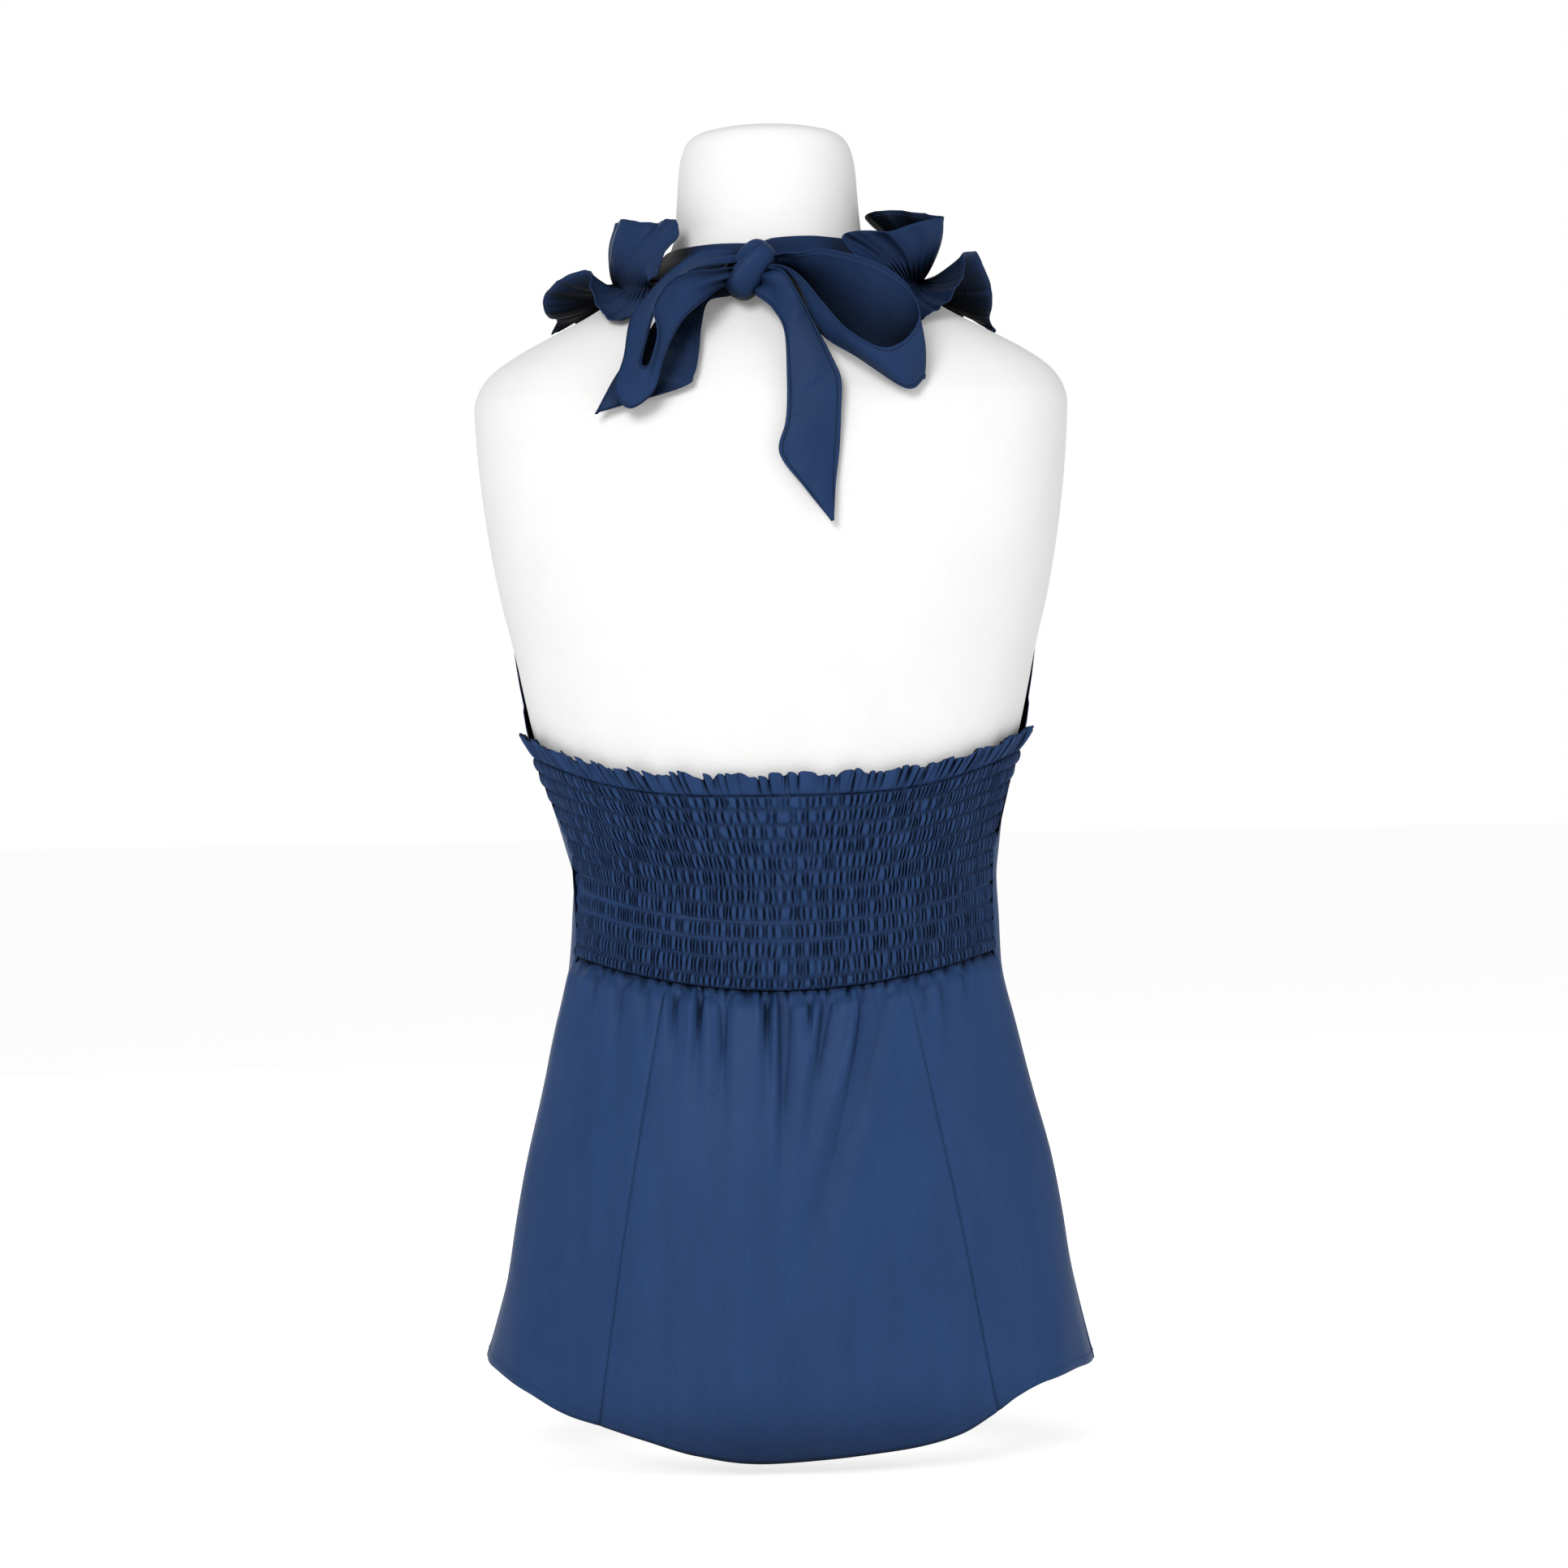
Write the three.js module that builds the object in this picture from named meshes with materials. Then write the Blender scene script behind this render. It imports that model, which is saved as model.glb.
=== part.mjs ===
import * as THREE from 'three';

// Halter neck top with a smocked back, ruffled neckline and ribbon bow, on a limbless dress form.
// Millimetres, +Z up. The wearer's back faces +Y and the wearer's left is +X.
// A place on the body has a turn, in degrees from the centre back towards the wearer's left,
// and a height z above the flat foot of the form. The front is at a turn of 180.

// Driving dimensions
const WALL = 1.2;
const EASE = 1.3;
const SEAM = 0.3;
const PANEL_GAP = 0.25;
const CENTRE_GAP = 0.3;
const SIDE_GAP = 1.38;
const DEG = Math.PI / 180;

const FORM_TURNS = 32;
const FORM_CROWN = 821;

// Dress form sections: half width, depth in front and behind, and how square the corners are
const FORM = [
  { z: 0, half: 66, front: 56, back: 58, corner: 2.1 },
  { z: 6, half: 82, front: 65, back: 68, corner: 2.1 },
  { z: 20, half: 105, front: 77, back: 81, corner: 2.1 },
  { z: 42, half: 130, front: 88, back: 93, corner: 2.15 },
  { z: 70, half: 149, front: 95, back: 101, corner: 2.15 },
  { z: 98, half: 158.5, front: 98, back: 106, corner: 2.15 },
  { z: 140, half: 160.5, front: 101, back: 111.5, corner: 2.15 },
  { z: 180, half: 156, front: 101, back: 109, corner: 2.15 },
  { z: 220, half: 148, front: 99, back: 101, corner: 2.15 },
  { z: 260, half: 136.5, front: 94, back: 91, corner: 2.15 },
  { z: 298, half: 127.5, front: 88, back: 82, corner: 2.2 },
  { z: 335, half: 125, front: 86, back: 77, corner: 2.2 },
  { z: 366, half: 127.5, front: 91, back: 78.5, corner: 2.25 },
  { z: 395, half: 133.5, front: 99, back: 82, corner: 2.3 },
  { z: 420, half: 143, front: 107, back: 86, corner: 2.3 },
  { z: 442, half: 151, front: 113, back: 89, corner: 2.3 },
  { z: 466, half: 156.5, front: 118, back: 93, corner: 2.3 },
  { z: 495, half: 162.5, front: 120, back: 97.5, corner: 2.3 },
  { z: 528, half: 170.5, front: 116.5, back: 102, corner: 2.4 },
  { z: 564, half: 177, front: 104, back: 105, corner: 2.6 },
  { z: 600, half: 181.7, front: 90, back: 105.5, corner: 2.7 },
  { z: 630, half: 184.2, front: 79, back: 102.5, corner: 2.7 },
  { z: 648, half: 185, front: 72.5, back: 99.4, corner: 2.65 },
  { z: 658, half: 182.5, front: 69, back: 96.3, corner: 2.55 },
  { z: 668, half: 176, front: 66, back: 92.7, corner: 2.45 },
  { z: 680, half: 160, front: 62, back: 88, corner: 2.35 },
  { z: 692, half: 138, front: 57.5, back: 82, corner: 2.3 },
  { z: 704, half: 115, front: 54, back: 76, corner: 2.25 },
  { z: 713, half: 100.5, front: 52, back: 72, corner: 2.15 },
  { z: 721, half: 87.5, front: 50, back: 68.5, corner: 2.1 },
  { z: 729, half: 75.5, front: 49, back: 65.7, corner: 2.05 },
  { z: 736, half: 67.4, front: 48, back: 63.2, corner: 2 },
  { z: 744, half: 61.8, front: 47, back: 61.1, corner: 2 },
  { z: 755, half: 58.4, front: 46.5, back: 59.2, corner: 2 },
  { z: 776, half: 56.6, front: 48.5, back: 56, corner: 2 },
  { z: 795, half: 55.2, front: 51, back: 53, corner: 2 },
  { z: 807, half: 52.8, front: 50.5, back: 51.5, corner: 2 },
  { z: 814, half: 49, front: 47.5, back: 48.2, corner: 2 },
  { z: 818, half: 43, front: 42, back: 42.6, corner: 2 },
  { z: 820.2, half: 34, front: 33, back: 33.6, corner: 2 },
];

// Soft bust of the form
const BUST = { z: 482, apart: 86, turn: 150, rise: 25, wide: 44, tall: 45, clear: 1 };

// Hanging cloth sections below the bust, before the ease is added, and their sway to one side
const HANG_TOP = 462;
const HANG_FALL = 1.5;
const BLEND = 4;
const HANG = [
  { z: 0, half: 198.8, front: 123, back: 121, sway: 0 },
  { z: 30, half: 192.8, front: 121.5, back: 120, sway: 0 },
  { z: 54, half: 187.3, front: 120, back: 118.7, sway: -0.8 },
  { z: 80, half: 180.3, front: 118, back: 117.5, sway: -1.6 },
  { z: 110, half: 173, front: 116, back: 116, sway: -2.5 },
  { z: 145, half: 167.2, front: 114, back: 114, sway: -3 },
  { z: 180, half: 160.8, front: 112, back: 110.5, sway: -3.2 },
  { z: 220, half: 150.8, front: 110, back: 103, sway: -2.6 },
  { z: 260, half: 141.8, front: 107, back: 94, sway: -2 },
  { z: 286, half: 135.3, front: 105, back: 86.5, sway: -2 },
  { z: 300, half: 132.6, front: 104, back: 83.5, sway: -2.6 },
  { z: 330, half: 130.9, front: 103, back: 79.5, sway: -3.3 },
  { z: 352, half: 130.1, front: 104, back: 78, sway: -3.3 },
  { z: 374, half: 133.3, front: 108, back: 80, sway: -2.4 },
  { z: 400, half: 138.8, front: 114.5, back: 83.5, sway: -0.8 },
  { z: 420, half: 144.8, front: 120.5, back: 86.5, sway: 0 },
  { z: 450, half: 154, front: 129.5, back: 90.5, sway: 0 },
  { z: 466, half: 156, front: 131, back: 93, sway: 0 },
];

// Side seam from the hem up to the smocking, then the armhole edge up to the strap end
const SIDE_EDGE = [
  { z: 0, turn: 86 },
  { z: 200, turn: 86 },
  { z: 245, turn: 84.5 },
  { z: 270, turn: 82 },
  { z: 290, turn: 77.5 },
  { z: 307, turn: 73 },
  { z: 340, turn: 72.5 },
  { z: 375, turn: 73 },
  { z: 405, turn: 77.5 },
  { z: 428, turn: 83 },
  { z: 446, turn: 88 },
  { z: 478, turn: 92 },
  { z: 510, turn: 100 },
  { z: 545, turn: 113 },
  { z: 590, turn: 127 },
  { z: 630, turn: 136 },
  { z: 665, turn: 138.5 },
  { z: 690, turn: 134 },
  { z: 705, turn: 124 },
  { z: 714, turn: 113 },
  { z: 718, turn: 105 },
];

// Neckline edge from the bottom of the V up to the strap end
const NECK_EDGE = [
  { z: 517, turn: 180 },
  { z: 560, turn: 176.7 },
  { z: 600, turn: 174 },
  { z: 650, turn: 169.6 },
  { z: 690, turn: 158 },
  { z: 712, turn: 141.8 },
  { z: 725, turn: 126 },
  { z: 738, turn: 105 },
];

// Shirt-tail hem, lowest near the centre back
const HEM = [
  { turn: -180, z: 22 },
  { turn: -145, z: 29 },
  { turn: -112, z: 43 },
  { turn: -86, z: 50.5 },
  { turn: -68, z: 51 },
  { turn: -52, z: 47 },
  { turn: -44, z: 40 },
  { turn: -38, z: 31 },
  { turn: -30, z: 20.5 },
  { turn: -20, z: 13.5 },
  { turn: -11, z: 11 },
  { turn: 3, z: 7.2 },
  { turn: 15, z: 12 },
  { turn: 25, z: 21.5 },
  { turn: 34, z: 28.5 },
  { turn: 40, z: 32.5 },
  { turn: 53, z: 45.5 },
  { turn: 72, z: 56 },
  { turn: 86, z: 58.5 },
  { turn: 112, z: 46 },
  { turn: 145, z: 30 },
  { turn: 180, z: 22 },
];

// Heights on the side edge and on the centre edge that each cross row of a front joins
const FRONT_COLUMNS = 11;
const FRONT_DEPTH = 150;
const CENTRE_TURN = 180 - CENTRE_GAP / FRONT_DEPTH / DEG;
const FRONT_ROWS = [
  { side: 330, middle: 332 },
  { side: 352, middle: 356 },
  { side: 372, middle: 380 },
  { side: 387, middle: 397 },
  { side: 401, middle: 412 },
  { side: 416, middle: 427 },
  { side: 431, middle: 443 },
  { side: 446, middle: 460 },
  { side: 462, middle: 480 },
  { side: 478, middle: 500 },
  { side: 494, middle: 517 },
  { side: 512, middle: 538 },
  { side: 534, middle: 562 },
  { side: 560, middle: 588 },
  { side: 590, middle: 616 },
  { side: 618, middle: 642 },
  { side: 644, middle: 666 },
  { side: 665, middle: 686 },
  { side: 680, middle: 700 },
  { side: 692, middle: 711 },
  { side: 702, middle: 720 },
  { side: 710, middle: 727 },
  { side: 715, middle: 733 },
  { side: 718, middle: 738 },
];

// Smocked back panel
const SMOCK = {
  top: 418,
  topRise: 27.5,
  topPower: 3.2,
  topTurn: 88,
  bottom: 286.5,
  bottomRise: 20.5,
  bottomPower: 1.74,
  bottomTurn: 73,
  cornerLow: 307,
  cornerHigh: 445.5,
  heading: 12.3,
  firstBand: 8.8,
  bandGrowth: 0.27,
  bands: 11,
  puckers: 68,
  stitchPoints: 36,
  insideRows: 8,
  ridge: 1.9,
  valley: 0.4,
  frill: 2.6,
  uneven: 0.25,
  unevenAlong: 2.1,
  unevenUp: 37,
};

// Back skirt seams and rows
const SKIRT_ROWS = 12;
const SKIRT_COLUMNS = { side: 8, centre: 32 };
const SKIRT_FOOT = 30;
const FRONT_WAIST = 308;
const SKIRT_SEAMS = [
  { topX: 68, hemX: 111.6 },
  { topX: -74.5, hemX: -124.4 },
];

// Gathers under the smocking: trough at the seam, where it ends, its length, width and depth
const GATHERS = [
  { topX: 109, endX: 119, length: 70, width: 4, depth: 1.8 },
  { topX: 96, endX: 101, length: 95, width: 5, depth: 2.2 },
  { topX: 79, endX: 82, length: 60, width: 4, depth: 1.8 },
  { topX: 62.5, endX: 66, length: 80, width: 4, depth: 1.6 },
  { topX: 48, endX: 53, length: 70, width: 4, depth: 2.4 },
  { topX: 33, endX: 38, length: 120, width: 5, depth: 2.4 },
  { topX: 8.6, endX: 10, length: 90, width: 4, depth: 2 },
  { topX: -1.2, endX: 2, length: 150, width: 4.5, depth: 3 },
  { topX: -18, endX: -16, length: 80, width: 4, depth: 2 },
  { topX: -28, endX: -8, length: 110, width: 5, depth: 2.4 },
  { topX: -48.7, endX: -38, length: 100, width: 5, depth: 2 },
  { topX: -60.4, endX: 12, length: 235, width: 9, depth: 3 },
  { topX: -85, endX: -90, length: 70, width: 4, depth: 1.8 },
  { topX: -95, endX: -102, length: 80, width: 4, depth: 1.8 },
  { topX: -108, endX: -116, length: 60, width: 4, depth: 1.6 },
];
const PUFF = {
  height: 2.6,
  drop: 16,
  settle: 0.4,
  settleDrop: 200,
  sideTurn: 70,
  sideSpan: 14,
  foldShare: 0.85,
  foldDrop: 6,
};

// Soft flutes that open towards the hem: where they lie, where they start, width and height
const FLUTE_FOOT = 30;
const FLUTE_EDGE = { from: 0.04, span: 0.2 };
const FLUTES = [
  { x: 152, startZ: 250, width: 16, height: 5, face: 'back' },
  { x: 84, startZ: 230, width: 17, height: 4, face: 'back' },
  { x: 30, startZ: 200, width: 19, height: 3.5, face: 'back' },
  { x: -36, startZ: 220, width: 20, height: 4, face: 'back' },
  { x: -98, startZ: 230, width: 16, height: 3.5, face: 'back' },
  { x: -156, startZ: 250, width: 15, height: 5, face: 'back' },
  { x: 150, startZ: 260, width: 18, height: 5, face: 'front' },
  { x: 92, startZ: 300, width: 19, height: 5, face: 'front' },
  { x: 34, startZ: 240, width: 17, height: 4, face: 'front' },
  { x: -28, startZ: 250, width: 18, height: 4, face: 'front' },
  { x: -88, startZ: 300, width: 20, height: 5, face: 'front' },
  { x: -148, startZ: 260, width: 18, height: 5, face: 'front' },
];

// Neck ties: upper and lower edge of the flat ribbon round the neck, and how far it stands off
const TIE_LEAN = 0.3;
const TIES = {
  left: [
    { turn: 104.2, top: 738, low: 718, off: 0 },
    { turn: 92, top: 739.5, low: 719.5, off: 0 },
    { turn: 78, top: 741, low: 720.5, off: 0.2 },
    { turn: 64, top: 742, low: 720.5, off: 0.5 },
    { turn: 50, top: 742, low: 720, off: 1 },
    { turn: 38, top: 741.8, low: 719, off: 2.2 },
    { turn: 28, top: 741.2, low: 719.5, off: 4 },
    { turn: 12.5, top: 740, low: 723.5, off: 6 },
  ],
  right: [
    { turn: -104.2, top: 738, low: 718, off: 0 },
    { turn: -92, top: 740.5, low: 720, off: 0 },
    { turn: -78, top: 743, low: 722, off: 0.2 },
    { turn: -64, top: 745, low: 722.5, off: 0.4 },
    { turn: -50, top: 746, low: 722, off: 0.8 },
    { turn: -36, top: 746, low: 721.5, off: 1.6 },
    { turn: -22, top: 745.6, low: 722, off: 3.4 },
    { turn: -4, top: 743.6, low: 724, off: 5.4 },
  ],
};

// Bow ribbons: near edge (rear, seen from behind) and far edge of each ribbon, section by section
const BOW = {
  bow_loop_right: [
    { x: -8.2, y: 97, z: 731, farX: -8.2, farY: 82, farZ: 720 },
    { x: -19, y: 100, z: 731.2, farX: -20, farY: 84, farZ: 706 },
    { x: -33.6, y: 103, z: 733, farX: -34, farY: 86, farZ: 690 },
    { x: -60.7, y: 107, z: 725.7, farX: -62, farY: 89, farZ: 670 },
    { x: -81, y: 108, z: 712.7, farX: -84, farY: 92, farZ: 663 },
    { x: -89.9, y: 109, z: 693.7, farX: -92.5, farY: 96, farZ: 656 },
    { x: -84.3, y: 113, z: 679.9, farX: -91.2, farY: 99, farZ: 653.8 },
    { x: -73.8, y: 119, z: 672.4, farX: -85.6, farY: 104, farZ: 648.6 },
    { x: -63.5, y: 122, z: 672.6, farX: -77.2, farY: 107, farZ: 650.8 },
    { x: -46.2, y: 123, z: 683.4, farX: -53, farY: 109, farZ: 667.4 },
    { x: -32.9, y: 119, z: 698.9, farX: -32.7, farY: 102, farZ: 681.4 },
    { x: -20.6, y: 112, z: 714.9, farX: -20.5, farY: 92.5, farZ: 702.1 },
    { x: -9.5, y: 103, z: 723, farX: -9, farY: 88, farZ: 717 },
  ],
  bow_loop_left: [
    { x: 21, y: 97, z: 727.5, farX: 18.6, farY: 84, farZ: 736 },
    { x: 41.2, y: 106, z: 722.8, farX: 39.3, farY: 86, farZ: 735.8 },
    { x: 54.3, y: 112, z: 714.9, farX: 56.1, farY: 90, farZ: 725.7 },
    { x: 62.6, y: 116, z: 706.4, farX: 69.9, farY: 96, farZ: 712.5 },
    { x: 68.6, y: 118, z: 695.1, farX: 83.2, farY: 102, farZ: 694 },
    { x: 73.2, y: 118, z: 680.6, farX: 87.8, farY: 106, farZ: 670.7 },
    { x: 76.8, y: 119, z: 666.1, farX: 93.4, farY: 109, farZ: 650 },
    { x: 74.4, y: 122, z: 662.6, farX: 84.2, farY: 114, farZ: 638.5 },
    { x: 70.4, y: 124, z: 666.8, farX: 69.6, farY: 117, farZ: 648.1 },
    { x: 66, y: 125, z: 682.5, farX: 62.5, farY: 118, farZ: 669.3 },
    { x: 68, y: 125, z: 699, farX: 52, farY: 115, farZ: 690 },
    { x: 55, y: 120, z: 716, farX: 38.7, farY: 108, farZ: 703 },
    { x: 29.5, y: 106, z: 722, farX: 27.9, farY: 96, farZ: 712.5 },
  ],
  bow_tail_right: [
    { x: 5.2, y: 91, z: 706, farX: -6, farY: 93, farZ: 713 },
    { x: -2.7, y: 97, z: 698.2, farX: -18.7, farY: 98.5, farZ: 706 },
    { x: -9.3, y: 102, z: 684, farX: -25.7, farY: 103.5, farZ: 692 },
    { x: -10.3, y: 106, z: 656, farX: -37.9, farY: 107, farZ: 666.4 },
    { x: -10, y: 108, z: 639, farX: -42.5, farY: 108.5, farZ: 653.7 },
    { x: -8.8, y: 110, z: 628.1, farX: -42, farY: 110, farZ: 634 },
    { x: -5.1, y: 112, z: 610, farX: -40.5, farY: 110, farZ: 611 },
    { x: -20, y: 113, z: 589, farX: -38, farY: 112, farZ: 591 },
    { x: -35.4, y: 113.5, z: 569, farX: -36.6, farY: 113.5, farZ: 569.6 },
  ],
  bow_tail_left: [
    { x: 22.5, y: 84, z: 709, farX: 26.6, farY: 83, farZ: 719 },
    { x: 36.5, y: 88, z: 705, farX: 54.9, farY: 87, farZ: 714 },
    { x: 41, y: 93, z: 690, farX: 64, farY: 90, farZ: 700 },
    { x: 42.7, y: 98, z: 674, farX: 72.5, farY: 93, farZ: 687 },
    { x: 45.8, y: 103, z: 659.4, farX: 84.8, farY: 97.5, farZ: 670.7 },
    { x: 53.7, y: 105, z: 651.3, farX: 94, farY: 100, farZ: 657.6 },
    { x: 103.6, y: 104, z: 637.6, farX: 105.4, farY: 104, farZ: 636.4 },
  ],
};
const BOW_STEPS = 22;
const TAIL_STEPS = 12;

// Knot: a slanting bundle of ribbon, as sections along its length
const KNOT = {
  from: new THREE.Vector3(-3, 82, 741),
  to: new THREE.Vector3(18, 84, 708),
  rings: 8,
  points: 14,
  wide: 15,
  deep: 14,
  endShare: 0.1,
  fullness: 0.55,
  creases: 5,
  creaseDepth: 0.06,
  creaseSlant: 4,
};

// Ruffles behind the shoulder: the seam's turn and height, then the outer and inner frill edges
const RUFFLES = {
  left: [
    { turn: 42, z: 714.5, outX: 73, outY: 75, outZ: 700, inX: 68.5, inY: 64, inZ: 723 },
    { turn: 47, z: 715, outX: 89, outY: 73, outZ: 695.5, inX: 62.5, inY: 62, inZ: 738 },
    { turn: 53, z: 715.5, outX: 98.6, outY: 64, outZ: 698, inX: 54.5, inY: 55, inZ: 750 },
    { turn: 59, z: 716, outX: 105.3, outY: 54, outZ: 705.5, inX: 56.5, inY: 45, inZ: 759.5 },
    { turn: 65, z: 716.5, outX: 109.6, outY: 42, outZ: 719, inX: 66, inY: 36, inZ: 760 },
    { turn: 71, z: 717, outX: 111.5, outY: 30, outZ: 730.2, inX: 76.8, inY: 29, inZ: 760.2 },
    { turn: 77, z: 717.5, outX: 125.8, outY: 16, outZ: 730.1, inX: 91, inY: 16, inZ: 764.4 },
    { turn: 83, z: 718, outX: 135.6, outY: 4, outZ: 725.1, inX: 94, inY: 3, inZ: 761 },
    { turn: 88, z: 719, outX: 141.9, outY: -7, outZ: 717.8, inX: 91, inY: -8, inZ: 755 },
    { turn: 93, z: 720.5, outX: 139.4, outY: -15, outZ: 708.5, inX: 82, inY: -14, inZ: 757 },
    { turn: 98, z: 722.5, outX: 134, outY: -24, outZ: 706, inX: 72, inY: -22, inZ: 761 },
    { turn: 102, z: 724.5, outX: 138, outY: -34, outZ: 700, inX: 66, inY: -30, inZ: 759 },
  ],
  right: [
    { turn: -44, z: 716, outX: -74, outY: 76, outZ: 700, inX: -62, inY: 67, inZ: 722 },
    { turn: -50, z: 716, outX: -84, outY: 76, outZ: 694, inX: -51, inY: 64, inZ: 735 },
    { turn: -55, z: 716, outX: -92, outY: 72, outZ: 693, inX: -45.7, inY: 62, inZ: 746 },
    { turn: -60, z: 716, outX: -101.2, outY: 66, outZ: 697.5, inX: -57.7, inY: 60, inZ: 749.8 },
    { turn: -65, z: 716.5, outX: -107, outY: 60, outZ: 703, inX: -76, inY: 59, inZ: 749.3 },
    { turn: -70, z: 717, outX: -115, outY: 50, outZ: 713, inX: -95.2, inY: 52, inZ: 756 },
    { turn: -75, z: 717.5, outX: -120.6, outY: 40, outZ: 722, inX: -107.5, inY: 38, inZ: 759.7 },
    { turn: -79, z: 718, outX: -121.5, outY: 27, outZ: 737.5, inX: -97, inY: 26, inZ: 763.5 },
    { turn: -83, z: 718.5, outX: -130.3, outY: 11, outZ: 740.3, inX: -83, inY: 16, inZ: 766.6 },
    { turn: -87, z: 719, outX: -134.7, outY: 0, outZ: 733, inX: -65, inY: 5, inZ: 768 },
    { turn: -91, z: 720, outX: -139.5, outY: -10, outZ: 723, inX: -62, inY: -7, inZ: 764 },
    { turn: -95, z: 721.5, outX: -140.7, outY: -17, outZ: 712, inX: -82, inY: -12, inZ: 757 },
    { turn: -99, z: 723, outX: -139, outY: -26, outZ: 704, inX: -90, inY: -20, inZ: 759 },
    { turn: -102.5, z: 725, outX: -142, outY: -36, outZ: 697, inX: -78, inY: -30, inZ: 762 },
  ],
};

// The same ruffles down the front neckline, as even waves
const FRONT_RUFFLE = {
  waves: 6,
  steps: 24,
  outerReach: 46,
  outerReachLow: 12,
  taperFrom: 0.62,
  innerReach: 26,
  innerReachLow: 9,
  centreGap: 3,
  lift: 13,
  shoulderLift: 36,
  shoulderShare: 0.3,
  swing: 8,
  slide: 5,
  innerPhase: 2.4,
  strapShare: 0.5,
  lowShare: 0.92,
  strapPace: 3,
};
const RUFFLE_BOW = 4;
const RUFFLE_OFF = 1.7;
const RUFFLE_SHARES = [-1, -0.5, 0, 0.5, 1];

// Colours and finishes
const NAVY = { color: 0x1f3a6b, roughness: 0.46, metalness: 0 };
const NAVY_DEEP = { color: 0x1a315d, roughness: 0.5, metalness: 0 };
const CANVAS = { color: 0xefeeea, roughness: 0.85, metalness: 0 };

// Smooth curve through one column of a table, with no overshoot
function track(rows, key, column) {
  const at = rows.map((row) => row[key]);
  const value = rows.map((row) => row[column]);
  const last = at.length - 1;
  const slope = at.slice(0, last).map((a, i) => (value[i + 1] - value[i]) / (at[i + 1] - a));
  const tangent = value.map((v, i) => {
    if (i === 0 || i === last) {
      return slope[Math.min(i, last - 1)];
    }
    const product = slope[i - 1] * slope[i];
    return product <= 0 ? 0 : (2 * product) / (slope[i - 1] + slope[i]);
  });
  return (t) => {
    if (t <= at[0]) {
      return value[0];
    }
    if (t >= at[last]) {
      return value[last];
    }
    let i = 0;
    while (at[i + 1] < t) {
      i += 1;
    }
    const span = at[i + 1] - at[i];
    const s = (t - at[i]) / span;
    const ease = s * s * (3 - 2 * s);
    const start = s * (1 - s) * (1 - s) * span * tangent[i];
    const end = s * s * (1 - s) * span * tangent[i + 1];
    return value[i] + (value[i + 1] - value[i]) * ease + start - end;
  };
}

function tracks(rows, key, columns) {
  return Object.fromEntries(columns.map((column) => [column, track(rows, key, column)]));
}

function mix(a, b, t) {
  return a + (b - a) * t;
}

function smoothStep(t) {
  const s = Math.min(1, Math.max(0, t));
  return s * s * (3 - 2 * s);
}

// The larger of two lengths, rounded where they are close
function softMax(a, b) {
  const near = Math.max(BLEND - Math.abs(a - b), 0) / BLEND;
  return Math.max(a, b) + (near * near * BLEND) / 4;
}

const form = tracks(FORM, 'z', ['half', 'front', 'back', 'corner']);
const hang = tracks(HANG, 'z', ['half', 'front', 'back', 'sway']);
const sideTurn = track(SIDE_EDGE, 'z', 'turn');
const neckTurn = track(NECK_EDGE, 'z', 'turn');
const hemHeight = track(HEM, 'turn', 'z');

// Share of the depth that a section keeps at a turn
function depthShare(turn, z) {
  return Math.abs(Math.cos(turn * DEG)) ** (2 / form.corner(z));
}

function widthAt(turn, z, half) {
  const s = Math.sin(turn * DEG);
  return half * Math.sign(s) * Math.abs(s) ** (2 / form.corner(z));
}

function formDepthInFront(turn, z) {
  const across = (Math.abs(widthAt(turn, z, form.half(z))) - BUST.apart) / BUST.wide;
  const up = (z - BUST.z) / BUST.tall;
  const bust = BUST.rise * Math.exp(-across * across - up * up);
  return depthShare(turn, z) * (form.front(z) + bust);
}

function facesBack(turn) {
  return Math.cos(turn * DEG) > 0;
}

function formPoint(turn, z) {
  const x = widthAt(turn, z, form.half(z));
  const y = facesBack(turn) ? form.back(z) * depthShare(turn, z) : -formDepthInFront(turn, z);
  return new THREE.Vector3(x, y, z);
}

// The cloth lies on the form, bridges the bust and hangs free below it
function clothBase(turn, z) {
  const fall = Math.max(0, z - HANG_TOP) * HANG_FALL;
  const x = widthAt(turn, z, softMax(form.half(z), hang.half(z) - fall)) + hang.sway(z);
  const share = depthShare(turn, z);
  if (facesBack(turn)) {
    return new THREE.Vector3(x, softMax(form.back(z), hang.back(z) - fall) * share, z);
  }
  const away = Math.abs(turn) > 180 ? 360 - Math.abs(turn) : Math.abs(turn);
  const onForm = formDepthInFront(turn, z);
  const bridged = away > BUST.turn ? formDepthInFront(BUST.turn, z) : 0;
  const hanging = (hang.front(z) - fall) * share;
  const resting = Math.max(onForm, bridged) + BUST.clear * share;
  return new THREE.Vector3(x, -softMax(resting, hanging), z);
}

// Point moved out along the surface's own normal
function raised(surface, turn, z, lift) {
  const turnStep = 1;
  const heightStep = 1.5;
  const along = surface(turn + turnStep, z).sub(surface(turn - turnStep, z));
  const up = surface(turn, z + heightStep).sub(surface(turn, z - heightStep));
  const normal = up.cross(along).normalize();
  return surface(turn, z).addScaledVector(normal, lift);
}

function clothPoint(turn, z, lift) {
  return raised(clothBase, turn, z, lift);
}

// Turn of the place at a given distance from the centre line, on the back
function turnAtX(x, z) {
  const off = x - hang.sway(z);
  const half = clothBase(90, z).x - hang.sway(z);
  const s = Math.min(1, Math.abs(off) / half) ** (form.corner(z) / 2);
  return (Math.sign(off) * Math.asin(s)) / DEG;
}

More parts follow.
